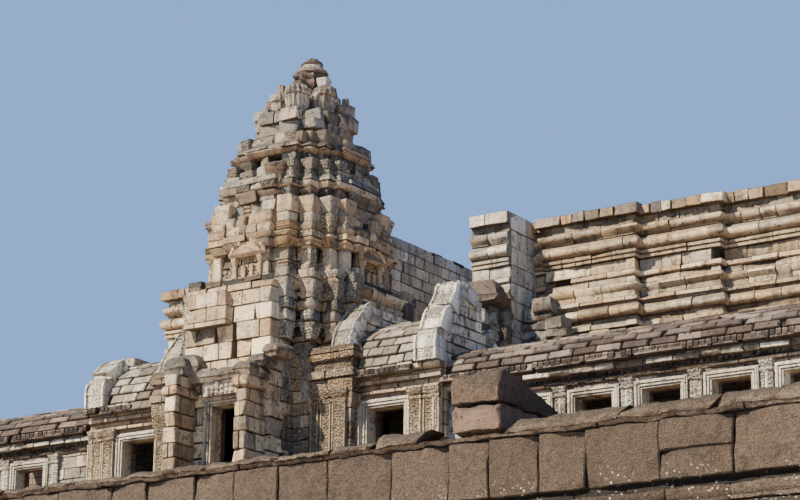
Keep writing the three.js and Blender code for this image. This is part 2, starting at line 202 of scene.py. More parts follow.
# %% Drawn courses
BRICK = {"Scale": 1.0, "Mortar Size": 0.012, "Mortar Smooth": 0.3, "Color1": (0, 0, 0, 1),
         "Color2": (0, 0, 0, 1), "Mortar": (1, 1, 1, 1)}


def coursed(make, place, facing, length, course):
    """Joint lines of coursed blocks, on walls that face X or Y and on level tops."""
    x, y, z = make("ShaderNodeSeparateXYZ", {0: place}).outputs

    def faces_along(axis):
        return reckon(make, "GREATER_THAN", reckon(make, "ABSOLUTE", facing.outputs[axis]), 0.7)

    def picked(usual, other, share):
        rest = reckon(make, "SUBTRACT", 1.0, share)
        return reckon(make, "ADD", reckon(make, "MULTIPLY", usual, rest),
                      reckon(make, "MULTIPLY", other, share))

    flat = make("ShaderNodeCombineXYZ", {0: picked(x, y, faces_along("X")),
                                         1: picked(z, y, faces_along("Z"))})
    return make("ShaderNodeTexBrick", dict(BRICK, Vector=flat.outputs[0], **{
        "Brick Width": length, "Row Height": course})).outputs["Color"]


# %% [markdown]
# Now the recipe itself, from the clean colour outwards: the block's tone, warm stains, a painted
# warm bounce light on faces that look down, streaks of rain, black lichen, painted shade at the
# marked joints and grooves, pits, carving or drawn joints, and last the relief. Apart from the
# painted light and shade, the order is that in which the years laid them on.

# %% Sandstone
def sandstone(name, dark, middle, light, warm, crust, crust_share=0.5, warm_share=0.5,
              joints=None, specks=0.0, relief=0.08, pitted=False):
    """Weathered stone. joints=(length, height) draws courses on surfaces with no laid stones."""
    material = bpy.data.materials.new(name)
    material.use_nodes = True
    tree = material.node_tree
    make = node_maker(tree)
    place = make("ShaderNodeTexCoord").outputs["Object"]
    mark = make("ShaderNodeAttribute", attribute_name="stone")
    tone, hue, edge = make("ShaderNodeSeparateColor", {0: mark.outputs["Color"]}).outputs
    facing = make("ShaderNodeSeparateXYZ", {0: make("ShaderNodeNewGeometry").outputs["Normal"]})
    looks_up = facing.outputs["Z"]

    def cloud(scale, detail, rough=0.6, vector=place):
        return make("ShaderNodeTexNoise", {"Scale": scale, "Detail": detail, "Roughness": rough,
                                           "Vector": vector}).outputs[0]

    def times(a, b):
        return reckon(make, "MULTIPLY", a, b)

    def plus(a, b):
        return reckon(make, "ADD", a, b)

    def minus(a, b):
        return reckon(make, "SUBTRACT", a, b)

    def larger(a, b):
        return reckon(make, "MAXIMUM", a, b)

    stain, blotch, mottle, grain = cloud(0.42, 3), cloud(2.1, 4), cloud(6.5, 5, 0.7), cloud(23, 4, 0.75)
    tall = make("ShaderNodeMapping", {"Scale": (3.2, 3.2, 0.28), "Vector": place})
    streak = cloud(1.0, 4, 0.6, tall.outputs[0])

    value = plus(plus(times(tone, 0.85), times(blotch, 0.7)),
                 plus(times(mottle, 1.25), times(grain, 0.7)))
    clean = ramp(make, between(make, value, 1.2, 2.25), [(0.0, dark), (0.45, middle), (1.0, light)])
    plain_grey = (sum(middle) / 3 * 1.15,) * 3
    greyed = times(between(make, hue, 0.02, 0.0), 0.55)
    clean = blended(make, greyed, clean, blended(make, 0.5, clean, plain_grey))

    stained = times(between(make, stain, 0.45, 0.66), warm_share * 0.7)
    stained = larger(stained, times(hue, warm_share))
    # Faces that look down get a warm colour as painted bounce light.
    warm_bounce_painted = times(between(make, looks_up, -0.2, -0.75), 0.85)
    colour = blended(make, larger(stained, warm_bounce_painted), clean, blended(make, 0.8, clean, warm))
    rain = times(between(make, streak, 0.5, 0.66), (0.2 if pitted else 0.7) * crust_share)
    colour = blended(make, rain, colour, crust)

    lichen = plus(between(make, looks_up, 0.05, 0.75, 0.0, 0.42), minus(blotch, 0.55))
    lichen = plus(lichen, times(minus(mottle, 0.5), 1.1))
    lichen = plus(lichen, times(between(make, stain, 0.35, 0.7), 0.2))
    colour = blended(make, times(between(make, lichen, 0.08, 0.22), crust_share), colour, crust)
    # The edge mark paints shade: dark where blocks meet, on bevels, deep in grooves and on the heart behind
    # the stones.
    colour = blended(make, times(edge, 0.75), colour, dimmed(crust, 0.35))

    scale, far, near, shade, depth = (21.0, 0.5, 0.2, 0.15, 0.4) if pitted else (3.1, 0.13, 0.08, 0.75, 0.8)
    pits = spots(make, place, scale, far, near)
    colour = blended(make, times(pits, shade), colour, dimmed(crust, 0.4))
    if specks:
        white = times(spots(make, place, 6.5, 0.24, 0.16),
                      between(make, make("ShaderNodeSeparateXYZ", {0: place}).outputs["Z"], 2.85, 2.25))
        white = times(white, between(make, cloud(0.8, 3), 0.45, 0.6))
        colour = blended(make, times(white, specks), colour, (0.5, 0.46, 0.36))

    if joints:
        cut, cut_shade, cut_dim, cut_depth = coursed(make, place, facing, *joints), 1.0, 0.3, 1.6
    else:
        carved = minus(1.0, mark.outputs["Alpha"])
        cut = times(spots(make, place, 10.5, 0.38, 0.62, randomness=0.7), carved)
        cut_shade, cut_dim, cut_depth = 0.42, 0.5, 1.0
    colour = blended(make, times(cut, cut_shade), colour, dimmed(crust, cut_dim))
    height = plus(plus(blotch, times(mottle, 0.8)), times(grain, 0.45))
    height = minus(minus(height, times(pits, depth)), times(cut, cut_depth))
    bump = make("ShaderNodeBump", {"Strength": 1.0, "Distance": relief, "Height": height})

    shader = tree.nodes["Principled BSDF"]
    shader.inputs["Specular IOR Level"].default_value = 0.2
    for key, source in (("Base Color", colour), ("Normal", bump.outputs[0]),
                        ("Roughness", between(make, grain, 0.3, 0.7, 0.8, 0.97))):
        tree.links.new(source, shader.inputs[key])
    return material


# %% [markdown]
# The temple is all sandstone, but it has aged in different ways. The low terrace is dark brown,
# the gallery roofs are a lighter brown, the tower is tan and grey with black lichen, and the
# rebuilt parts are pale. Each finish is the same recipe with its own colours, which keeps them
# one family. The colours are dark, middle, light, warm and that of the lichen.

# %% Finishes
FINISHES = {
    "terrace_stone": ([(0.026, 0.019, 0.014), (0.07, 0.05, 0.037), (0.165, 0.125, 0.093),
                       (0.12, 0.076, 0.05), (0.018, 0.015, 0.013)],
                      {"crust_share": 0.6, "specks": 0.9, "relief": 0.09, "pitted": True}),
    "roof_stone": ([(0.035, 0.026, 0.021), (0.15, 0.11, 0.087), (0.42, 0.335, 0.265),
                    (0.26, 0.155, 0.105), (0.02, 0.017, 0.015)],
                   {"crust_share": 0.6, "warm_share": 0.45}),
    "tan_sandstone": ([(0.07, 0.053, 0.036), (0.3, 0.235, 0.155), (0.82, 0.66, 0.43),
                       (0.52, 0.29, 0.13), (0.035, 0.03, 0.025)],
                      {"crust_share": 0.65, "warm_share": 0.75}),
    "pale_sandstone": ([(0.12, 0.103, 0.08), (0.39, 0.345, 0.268), (0.84, 0.775, 0.645),
                        (0.56, 0.37, 0.21), (0.06, 0.052, 0.043)],
                       {"crust_share": 0.7, "warm_share": 0.65}),
    "weathered_sandstone": ([(0.055, 0.048, 0.039), (0.25, 0.22, 0.172), (0.76, 0.69, 0.56),
                             (0.48, 0.29, 0.16), (0.026, 0.024, 0.022)], {"crust_share": 0.75}),
}
# The first core is nearly black coursed stone, painted shade for what shows in open joints. The second is
# the tan masonry of walls and rooms.
INNER = {
    "dark_core": ([(0.02, 0.016, 0.013), (0.045, 0.035, 0.027), (0.09, 0.07, 0.055),
                   (0.07, 0.045, 0.03), (0.015, 0.013, 0.012)],
                  {"crust_share": 0.6, "joints": (1.3, 0.5)}),
    "tan_core": ([(0.12, 0.08, 0.05), (0.26, 0.18, 0.112), (0.4, 0.3, 0.2),
                  (0.28, 0.165, 0.095), (0.06, 0.047, 0.037)],
                 {"crust_share": 0.4, "joints": (0.55, 0.26)}),
}


def finishes(recipes):
    return {name: sandstone(name, *colours, **settings)
            for name, (colours, settings) in recipes.items()}


STONES, CORES = finishes(FINISHES), finishes(INNER)
print("finishes", list(STONES), list(CORES))

# %% [markdown]
# Every stone in this script is a stack of closed rings of points, whether it is a wall block, a
# turned bud or a slab. One helper joins the rings and closes both ends, so each kind of stone
# only has to say where its rings lie. A pile gathers many stones, because one mesh of a
# thousand stones is far quicker than a thousand objects.

# %% Piles of stones
AXIS = Vector((-3.95, -4.25, 0))


class Pile:
    """Stones of one piece, gathered before they become one mesh."""

    def __init__(self, seed):
        self.points, self.faces, self.marks = [], [], []
        self.dice = random.Random(seed)

    def add(self, points, faces, marks):
        first = len(self.points)
        self.points += points
        self.faces += [tuple(first + i for i in face) for face in faces]
        self.marks += marks

    def add_rings(self, points, marks, count, clockwise=False):
        """Joins rings of count points each, and closes the first and the last."""
        faces = []
        for a in range(0, len(points) - count, count):
            for i in range(count):
                j = (i + 1) % count
                quad = (a + i, a + j, a + j + count, a + i + count)
                faces.append((quad[0], *quad[:0:-1]) if clockwise else quad)
        first, last = tuple(range(count)), tuple(range(len(points) - count, len(points)))
        faces += [first, last[::-1]] if clockwise else [first[::-1], last]
        self.add(points, faces, marks)


def wavered(p, rough, broad, fine, share=2.0):
    """A point moved by broad and by fine noise."""
    return p + noise.noise_vector(p * broad) * rough * share + noise.noise_vector(p * fine) * rough


def finished_piece(name, mesh, stands_for):
    """The mesh becomes a piece that rides on the temple's one body."""
    piece = placed(name, mesh)
    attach(piece, "root")
    if stands_for:
        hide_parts(*stands_for)
    mesh.calc_loop_triangles()
    print(name, "triangles", len(mesh.loop_triangles))


def make_piece(pile, name, slot, material=None, stands_for=(), sharp=38):
    """Points move from the tower's axis to the temple's middle, and marks become an attribute."""
    mesh = bpy.data.meshes.new(name)
    mesh.from_pydata([p + AXIS for p in pile.points], [], pile.faces)
    mark = mesh.attributes.new("stone", "FLOAT_COLOR", "POINT")
    mark.data.foreach_set("color", [v for m in pile.marks for v in m])
    mesh.materials.append(material or STONES[slot])
    mesh.shade_smooth()
    mesh.set_sharp_from_angle(angle=math.radians(sharp))
    mesh.validate()
    finished_piece(name, mesh, stands_for)


# %% [markdown]
# Old walls are dry laid: each course is a row of blocks, no two alike, with worn edges and dark
# gaps. The rings of a block follow the wall's moulding, so a torus or a lip runs on from block
# to block. First come the levels of those rings, read from a profile of offsets and levels.

# %% Levels of a block
def at_level(profile, z):
    """How far the moulding stands out at a level."""
    for (d0, z0), (d1, z1) in zip(profile, profile[1:]):
        if z0 <= z <= z1 and z1 > z0:
            return d0 + (d1 - d0) * (z - z0) / (z1 - z0)
    return profile[0][0] if z < profile[0][1] else profile[-1][0]


def banded(profile, z0, z1, bands, deep=0.035):
    """The moulding of one block with level grooves cut into it."""
    rows = []
    for i in range(bands):
        low, high = (z0 + (z1 - z0) * (i + share) / bands for share in (0.14, 0.86))
        for z, cut in ((low, deep), (low + 0.02, 0), (high - 0.02, 0), (high, deep)):
            rows.append((at_level(profile, z) - cut, z))
    return [(at_level(profile, z0) - deep, z0)] + rows + [(at_level(profile, z1) - deep, z1)]


def groove_shade(profile, z):
    """How much painted shade a level gets, from 0 on a lip to 0.8 in a deep groove."""
    lip = max(at_level(profile, z + reach) for reach in (-0.36, -0.18, 0.18, 0.36))
    return min(0.8, max(0.0, (lip - at_level(profile, z) - 0.04) * 5))


def cut_levels(profile, z0, z1, bevel, step):
    """Levels of a block's rings: its worn edges, the moulding's breaks, and fill between."""
    bevel = min(bevel, (z1 - z0) * 0.25)
    levels = [z0 + bevel] + [z for _, z in profile if z0 + 1.4 * bevel < z < z1 - 1.4 * bevel]
    levels.append(z1 - bevel)
    full = [levels[0]]
    for a, b in zip(levels, levels[1:]):
        count = max(1, round((b - a) / step))
        full += [a + (b - a) * i / count for i in range(1, count + 1)]
    return [z0] + full + [z1]


def end_at(place, push, offset, gap):
    """A corner end follows the moulding, and any other end leaves a gap to its neighbour."""
    return place + push * offset if push else place + gap


# %% [markdown]
# Then the block. Its edges are bevelled, its face leans and wavers a little, and now and then a
# corner has broken off. A brick texture could not give the ragged outline.

# %% One block
GAP = 0.018


def lay_block(pile, start, along, left, right, profile, z0, z1, back, bevel=0.02, proud=0.02,
              vary=0.015, rough=0.012, cell=9.0, broken=0.25, chip=0.06, tone=None, hue=None,
              carved=0.0, leafy=0.0, spread=0.19, shear=0.0):
    """left and right are (place, push): an end stands at place + push x the moulding's offset."""
    dice = pile.dice
    if carved and dice.random() < carved:
        profile = banded(profile, z0, z1, dice.choice((2, 3, 4)))
    plain = 0.0 if leafy and dice.random() < leafy else 1.0
    tone = dice.gauss(0.5, 0.22) if tone is None else dice.gauss(tone, spread)
    hue = dice.random() ** 3 if hue is None else hue
    out = Vector((along.y, -along.x, 0))
    stand = proud + dice.uniform(-vary, vary)
    lean, swing = dice.uniform(-vary, vary) * 0.6, dice.uniform(-vary, vary) * 0.6
    levels = cut_levels(profile, z0 + GAP / 2, z1 - GAP / 2, bevel, cell)
    length = right[0] - left[0]
    inner = max(1, round(length / cell))
    shares = [i / inner for i in range(inner + 1)]
    corner = (dice.choice((0, 1)), dice.choice((0, 1))) if dice.random() < broken else None
    reach = min(length, z1 - z0) * dice.uniform(0.3, 0.75)
    # Ends that meet a neighbour are marked dark towards the back, as painted shade in the joint.
    (rear0, edge0), (rear1, edge1) = ((0.05, 0.2) if push else (0.6, 1.0) for _, push in (left, right))
    points, marks = [], []
    for row, z in enumerate(levels):
        outer = row in (0, len(levels) - 1)
        z = min(max(z, z0 + 0.001), z1 - 0.001)
        d, dark = at_level(profile, z), groove_shade(profile, z)
        s0, s1 = end_at(*left, d + stand, GAP / 2), end_at(*right, d + stand, -GAP / 2)
        mid, t = (s0 + s1) / 2, (z - z0) / (z1 - z0) - 0.5
        wide = min(bevel, (s1 - s0) * 0.3)
        ring = [(s0, -back, rear0), (s0, -wide, edge0)]
        ring += [(s0 + wide + share * (s1 - s0 - 2 * wide), 0.0, 0.0) for share in shares]
        ring += [(s1, -wide, edge1), (s1, -back, rear1)]
        for s, depth, edge in ring:
            worn = depth
            if depth > -back:
                worn += d + stand + lean * (s - mid) / max(length, 0.2) + swing * t
                worn -= bevel if outer else 0.0
                if corner:
                    away = math.hypot(s - (s1 if corner[0] else s0), z - (z1 if corner[1] else z0))
                    worn -= chip * max(0.0, 1.0 - away / reach)
            p = start + along * (s + shear * (z - z0)) + out * worn + Vector((0, 0, z))
            if depth > -back:
                p += noise.noise_vector(p * 1.9) * rough * 1.6 + noise.noise_vector(p * 7.3) * rough
            points.append(p)
            # Top and bottom bevels and deep grooves get the dark mark too, as painted shade.
            marks.append((tone, hue, max(edge, 1.0 if outer else dark), plain))
    pile.add_rings(points, marks, len(shares) + 4)


sample = Pile(1)
lay_block(sample, Vector((0, 0, 0)), Vector((1, 0, 0)), (0, -1), (1, 1), [(0, 0), (0, 0.4)], 0, 0.4, 0.3)
print("a plain block has", len(sample.faces), "faces")

# %% [markdown]
# A course turns every corner of the plan. At an outer corner one block shows its face on one
# side and its end on the other, and the next course swaps them, as masons bond a corner. Doors
# and windows are gaps in a course. The number of blocks follows from the length of the wall.

# %% Courses
SHORTEST_SPAN, SHORTEST_REST = 0.08, 0.06


def edges_of(outline, closed):
    """Each straight stretch of the plan: start, direction, length, and its two corners' turns."""
    pts = [Vector((x, y, 0)) for x, y in outline]
    count = len(pts)
    runs = [(pts[(i + 1) % count] - pts[i]) for i in range(count if closed else count - 1)]
    found = []
    for i, run in enumerate(runs):
        turns = []
        for near, far in ((runs[i - 1], run), (run, runs[(i + 1) % len(runs)])):
            turns.append(math.copysign(1, near.cross(far).z) if near.cross(far).length > 1e-6 else 0)
        if not closed and i == 0:
            turns[0] = 0
        if not closed and i == len(runs) - 1:
            turns[1] = 0
        found.append((pts[i], run.normalized(), run.length, turns))
    return found


def without(spans, low, high):
    """Spans of a course that are left when low to high is cut out."""
    left = []
    for a, b in spans:
        if high <= a[0] or low >= b[0]:
            left.append((a, b))
            continue
        if low - a[0] > SHORTEST_REST:
            left.append((a, (low, 0)))
        if b[0] - high > SHORTEST_REST:
            left.append(((high, 0), b))
    return left


def lay_courses(pile, outline, profile, beds, long=(0.6, 1.0), back=0.3, closed=True, sides=None,
                holes=(), split=0.0, missing=0.0, ragged=0.0, **block):
    """Courses between the beds all round an outline. holes are (side, s0, s1, z0, z1)."""
    edges = edges_of(outline, closed)
    laid = range(len(edges)) if sides is None else sides
    dice = pile.dice
    for k, (z0, z1) in enumerate(zip(beds, beds[1:])):
        middle = (z0 + z1) / 2
        for i, (start, along, length, turns) in enumerate(edges):
            if i not in laid:
                continue
            quoin = min(back, length * 0.45) if length > 1.2 * back else back
            left, right = (0.0, 0.0), (length, 0.0)
            if turns[0] > 0 and (sides is None or i - 1 in sides):
                left = (0.0, -1.0) if (k + i) % 2 == 0 else (quoin, 0.0)
            if turns[1] > 0 and (sides is None or i + 1 in sides):
                right = (length, 1.0) if (k + i) % 2 == 0 else (length - quoin, 0.0)
            spans = [(left, right)] if right[0] - left[0] > SHORTEST_SPAN else []
            for side, s0, s1, low, high in holes:
                if side == i and low < middle < high:
                    spans = without(spans, s0, s1)
            for a, b in spans:
                count = max(1, round((b[0] - a[0]) / dice.uniform(*long)))
                weights = [dice.uniform(0.7, 1.3) for _ in range(count)]
                places, total = [a[0]], a[0]
                for weight in weights:
                    total += weight / sum(weights) * (b[0] - a[0])
                    places.append(total)
                for j in range(count):
                    if dice.random() < missing:
                        continue
                    ends = (a if j == 0 else (places[j], 0.0),
                            b if j == count - 1 else (places[j + 1], 0.0))
                    tall = [z0, z1 - dice.uniform(0, ragged)]
                    if dice.random() < split:
                        tall.insert(1, z0 + (z1 - z0) * dice.uniform(0.38, 0.55))
                    for low, high in zip(tall, tall[1:]):
                        lay_block(pile, start, along, *ends, profile, low, high, back, **block)


def lay_wall(*given, **block):
    """Courses along a line that doesn't close."""
    lay_courses(*given, closed=False, **block)


def rect(x0, x1, y0, y1):
    return [(x0, y0), (x1, y0), (x1, y1), (x0, y1)]


def pushed(outline, d):
    """Every edge of a right-angled outline moved out by d."""
    moved = []
    for i, p in enumerate(outline):
        before, after = outline[i - 1], outline[(i + 1) % len(outline)]
        shift = Vector((0, 0, 0))
        for q, r in ((before, p), (p, after)):
            run = Vector((r[0] - q[0], r[1] - q[1], 0)).normalized()
            shift += Vector((run.y, -run.x, 0)) * d
        moved.append((p[0] + shift.x, p[1] + shift.y))
    return moved


def add_mass(pile, outline, z0, z1, tone=0.0):
    """A plain closed mass behind the stones, marked dark as painted shade that shows in the gaps."""
    points = [Vector((x, y, z)) for z in (z0, z1) for x, y in outline]
    pile.add_rings(points, [(tone, 0.2, 0.9, 1.0)] * len(points), len(outline))


def even_beds(z0, z1, height):
    """Levels of courses of about one height."""
    count = max(1, round((z1 - z0) / height))
    return [z0 + (z1 - z0) * i / count for i in range(count + 1)]


print("beds of a wall of 2 m", even_beds(0, 2, 0.45))

# %% [markdown]
# The terrace wall carries everything. In the photo its big blocks are the nearest stones: about
# two metres long, one course high, with black gaps between them and a deep shadow under them.
# The blocks get many small cells, so that their faces can waver and their corners break. The
# coping on the wall lies in worn slabs that slant along their joints, higher at the right.

# %% Lower terrace
LEFT_END, RIGHT_END, FRONT, BACK = -15.4, 23.3, -9.0, 17.5
WALL_FOOT, WALL_HEAD = 2.15, 3.85
GROUND = rect(LEFT_END, RIGHT_END, FRONT, BACK)
FOOT = [(0.3, 0), (0.3, 0.5), (0.22, 0.52), (0.22, 0.9), (0.15, 0.92), (0.22, 1.0), (0.25, 1.15),
        (0.22, 1.3), (0.15, 1.38), (0.18, 1.4), (0.18, 1.52), (0.1, 1.54), (0.14, 1.66), (0.14, 1.86),
        (-0.12, 1.93), (-0.2, WALL_FOOT)]
pile = Pile(11)
# The terrace's heart is painted nearly black, as the shade that shows through the joints.
add_mass(pile, pushed(GROUND, -0.2), 0.0, 3.9)
make_piece(pile, "terrace_heart", "terrace_stone", CORES["dark_core"])

pile = Pile(12)
lay_courses(pile, GROUND, FOOT, [0, 0.51, 0.91, 1.39], long=(1.2, 1.9), back=0.6, rough=0.014,
            cell=0.9, bevel=0.025, proud=0.0, vary=0.012)
lay_courses(pile, GROUND, FOOT, [1.39, 1.9], long=(1.5, 2.2), back=0.6, rough=0.03,
            cell=0.3, bevel=0.03, proud=0.0, broken=0.7, chip=0.12, vary=0.02)
# The course in the undercut under the wall blocks gets the darkest tone, as painted shade.
lay_courses(pile, GROUND, FOOT, [1.9, WALL_FOOT], long=(1.5, 2.2), back=0.4, rough=0.02,
            cell=0.6, bevel=0.03, proud=0.0, vary=0.02, tone=-0.2)
make_piece(pile, "terrace_foot_stones", "terrace_stone", stands_for=["terrace_foot"])

pile = Pile(13)
lay_courses(pile, GROUND, [(0, WALL_FOOT), (0, WALL_HEAD)], [WALL_FOOT, WALL_HEAD], long=(1.7, 2.3),
            back=0.6, split=0.2, rough=0.02, cell=0.2, bevel=0.04, proud=0.01, vary=0.03, broken=1.0,
            chip=0.16, tone=0.38, spread=0.12, hue=0.4)
make_piece(pile, "terrace_wall_stones", "terrace_stone", stands_for=["terrace_wall"])

# %% Coping
HIGH = [(0.0, 3.85), (0.04, 3.95), (0.1, 3.99), (0.12, 4.1), (0.04, 4.28), (-0.1, 4.42)]
LOW = [(0.0, 3.85), (0.04, 3.95), (0.09, 3.99), (0.1, 4.06), (0.0, 4.14), (-0.12, 4.2)]
SLABS = {"long": (1.5, 3.4), "back": 0.8, "rough": 0.045, "cell": 0.14, "bevel": 0.012, "proud": 0.0,
         "tone": 0.85, "spread": 0.15, "hue": 0.35}
pile = Pile(14)
for x0, x1, nose, missing in ((LEFT_END, 9.3, LOW, 0.06), (9.3, 11.0, HIGH, 0.0),
                              (13.9, RIGHT_END, HIGH, 0.04)):
    lay_wall(pile, [(x0, FRONT), (x1, FRONT)], nose, [3.96, nose[-1][1]], vary=0.05, broken=1.0,
             chip=0.4, shear=1.1, ragged=0.08, missing=missing, **SLABS)
lay_wall(pile, [(LEFT_END, FRONT), (RIGHT_END, FRONT)], LOW, [WALL_HEAD, 3.98], vary=0.03, **SLABS)
make_piece(pile, "terrace_coping_stones", "terrace_stone", stands_for=["terrace_coping"])

# %% [markdown]
# Not every stone lies in a wall. Bud stones and finials are turned shapes with flutes, and
# upright stones, capitals and fallen stones are stacks of rectangles. Two small helpers make
# them, with the same worn wavering as the wall blocks.

# %% Turned and stacked stones
def turn_stone(pile, centre, profile, sides, tone, flutes=0, depth=0.05, lean=(0, 0), rough=0.02,
               hue=0.3, start=0.0):
    """profile is [(radius, level)...] from the bottom to the top."""
    points, marks = [], []
    for radius, z in profile:
        t = z - profile[0][1]
        edge = 0.5 if radius < profile[0][0] * 0.4 else 0.0
        for i in range(sides):
            a = start + i / sides * math.tau
            r = radius * (1 + depth * math.cos(a * flutes)) if flutes else radius
            p = Vector((centre[0] + r * math.cos(a) + lean[0] * t,
                        centre[1] + r * math.sin(a) + lean[1] * t, centre[2] + z))
            points.append(wavered(p, rough, 3.1, 9.7))
            marks.append((tone, hue, edge, 1.0))
    pile.add_rings(points, marks, sides)


def stack_stone(pile, centre, along, rings, rough=0.02, tone=None, hue=None, bevel=0.03, plain=1.0):
    """rings are [(level, half length, half depth, shift out)...] from the bottom to the top."""
    dice = pile.dice
    tone = dice.gauss(0.5, 0.18) if tone is None else tone
    hue = dice.random() ** 3 if hue is None else hue
    along = Vector((*along, 0)).normalized()
    out = Vector((along.y, -along.x, 0))
    points = []
    for z, long, deep, shift in rings:
        b = min(bevel, long * 0.5, deep * 0.5)
        corners = ((-long, -deep + b), (-long + b, -deep), (long - b, -deep), (long, -deep + b),
                   (long, deep - b), (long - b, deep), (-long + b, deep), (-long, deep - b))
        for s, d in corners:
            p = Vector((*centre[:2], centre[2] + z)) + along * s + out * (shift - d)
            points.append(wavered(p, rough, 2.3, 8.1, share=1.5))
    pile.add_rings(points, [(tone, hue, 0.25, plain)] * len(points), len(corners), clockwise=True)


# %% [markdown]
# The tower stands on a plan with many small returns, which step back towards each corner. The
# same plan shrinks from storey to storey. Laying courses round that one outline at each size
# gives all five storeys, and the stones come loose and more uneven towards the top.

# %% Tower plan
TOWER_HALF = 3.3
CORNERS = [(3.3, 1.5), (3.0, 1.5), (3.0, 2.1), (2.45, 2.1), (2.45, 2.7), (1.8, 2.7), (1.8, 3.3)]


def four_sided(quarter):
    back = quarter[::-1]
    return (quarter + [(-x, y) for x, y in back] + [(-x, -y) for x, y in quarter]
            + [(x, -y) for x, y in back])


def tower_plan(scale, bay=0.0, out=0.0):
    """The plan at a scale, with a bay of a half width standing out on each face."""
    quarter = [(x * scale, y * scale) for x, y in CORNERS]
    if bay:
        fx, fy = quarter[0][0], quarter[-1][1]
        quarter = [(fx + out, bay), (fx, bay)] + quarter + [(bay, fy), (bay, fy + out)]
    return four_sided(quarter)


print("sides of the tower's plan", len(tower_plan(1)))

# %% Tower body and cornice
FLOOR, BODY_TOP = 5.0, 10.9
BODY = [(0.13, FLOOR), (0.13, 5.28), (0.07, 5.3), (0.11, 5.42), (0.11, 5.6), (0, 5.7), (0, 9.5),
        (0.08, 9.53), (0.08, 9.68), (0.01, 9.72), (0.01, 9.98), (0.1, 10.05), (0.17, 10.15),
        (0.1, 10.28), (0.04, 10.32), (0.04, 10.52), (0.14, 10.6), (0.2, 10.75), (0.2, BODY_TOP)]
CORNICE = [(0.13, BODY_TOP), (0.2, 11.0), (0.22, 11.2), (0.14, 11.26), (0.22, 11.4), (0.3, 11.52),
           (0.3, 11.68), (0.16, 11.72), (0.08, 11.9)]
LOW_RETURNS = [3, 4, 5, 7, 8, 9, 17, 18, 19, 21, 22, 23]
COVERED = [6, 20]
OPEN = [i for i in range(28) if i not in COVERED]
pile = Pile(21)
lay_courses(pile, tower_plan(1), BODY, [FLOOR, 5.29, 5.65] + even_beds(5.7, 9.1, 0.42), back=0.28,
            sides=LOW_RETURNS, long=(1.0, 1.5), vary=0.01, bevel=0.012, tone=0.5, spread=0.07,
            leafy=0.8)
lay_courses(pile, tower_plan(1), BODY, [9.1, 9.5, 9.72, 10.0, 10.3, 10.56, BODY_TOP], sides=OPEN,
            back=0.28, long=(0.5, 0.9), vary=0.03, broken=0.5, chip=0.08)
make_piece(pile, "tower_body_stones", "tan_sandstone")

pile = Pile(22)
lay_courses(pile, tower_plan(1), CORNICE, [BODY_TOP, 11.24, 11.68], sides=OPEN, back=0.35,
            long=(0.6, 1.0), vary=0.045, broken=0.6, chip=0.14, rough=0.02, missing=0.05)
lay_courses(pile, tower_plan(1), CORNICE, [11.68, 11.92], back=0.6,
            long=(0.6, 1.1), vary=0.05, broken=0.6, chip=0.14, rough=0.02, missing=0.08)
make_piece(pile, "tower_cornice_stones", "tan_sandstone")


# %% [markdown]
# On every outer corner of the returns stands a stack of carved stones, once a small pillar with
# its capital. They catch the light on one side and are dark on the other, which gives the tower
# its upright stripes. Each stone is a short list of widths from bottom to top, so one loop can
# build all the stacks and give every stone its own turn and slip.

# %% Corner stacks
SHAPES = {
    "flare": [(0, 0.7), (0.1, 0.74), (0.85, 1.04), (1, 1.02)],
    "pot": [(0, 0.74), (0.14, 0.78), (0.2, 0.95), (0.5, 1.04), (0.74, 0.98), (0.8, 0.84), (1, 0.82)],
    "block": [(0, 0.92), (0.08, 1.0), (0.92, 1.0), (1, 0.93)],
    "capital": [(0, 0.74), (0.1, 0.76), (0.14, 0.9), (0.3, 0.92), (0.34, 0.8), (0.44, 0.82), (0.5, 1.0),
                (0.68, 1.03), (0.72, 0.92), (0.8, 0.95), (0.86, 1.12), (1, 1.1)],
}
OUTER = [(3.3, 1.5), (3.0, 2.1), (2.45, 2.7), (1.8, 3.3)]
QUARTERS = [(1, 1), (-1, 1), (-1, -1), (1, -1)]


def carved_stone(pile, centre, shape, low, high, half, along, rough=0.022, **marks):
    """One stone of a named shape between two levels."""
    rings = [(low + share * (high - low), half * wide, half * wide, 0) for share, wide in SHAPES[shape]]
    stack_stone(pile, (*centre, 0), along, rings, rough=rough, bevel=0.045, **marks)


def corner_stacks(pile, scale, stones, stand, slip=0.03, skip=0.06, swing=0.1, tone=0.58):
    """stones are [(shapes to choose from, low, high, half width)...]."""
    dice = pile.dice
    for sx, sy in QUARTERS:
        for x, y in OUTER:
            for shapes, low, high, half in stones:
                if dice.random() < skip:
                    continue
                half *= dice.uniform(0.88, 1.08)
                spot = [s * (at * scale + stand - half) + dice.uniform(-slip, slip)
                        for s, at in ((sx, x), (sy, y))]
                carved_stone(pile, spot, dice.choice(shapes), low + dice.uniform(0, 0.03), high, half,
                             (1, dice.uniform(-swing, swing)), tone=dice.gauss(tone, 0.2),
                             hue=dice.random() ** 2.5, plain=dice.choice((0.0, 1.0)))


pile = Pile(24)
corner_stacks(pile, 1.0, [(["flare", "block"], 11.62, 11.97, 0.31), (["block", "flare"], 10.93, 11.6, 0.28),
                          (["pot", "block"], 10.52, 10.9, 0.25), (["block"], 10.12, 10.5, 0.27),
                          (["flare"], 9.5, 10.08, 0.27)], stand=0.34)
corner_stacks(pile, 1.0, [(["block"], 7.4, 8.4, 0.22), (["block"], 8.42, 9.46, 0.22)], stand=0.06,
              slip=0.008, skip=0.0, swing=0.02)
make_piece(pile, "tower_corner_stacks", "weathered_sandstone")
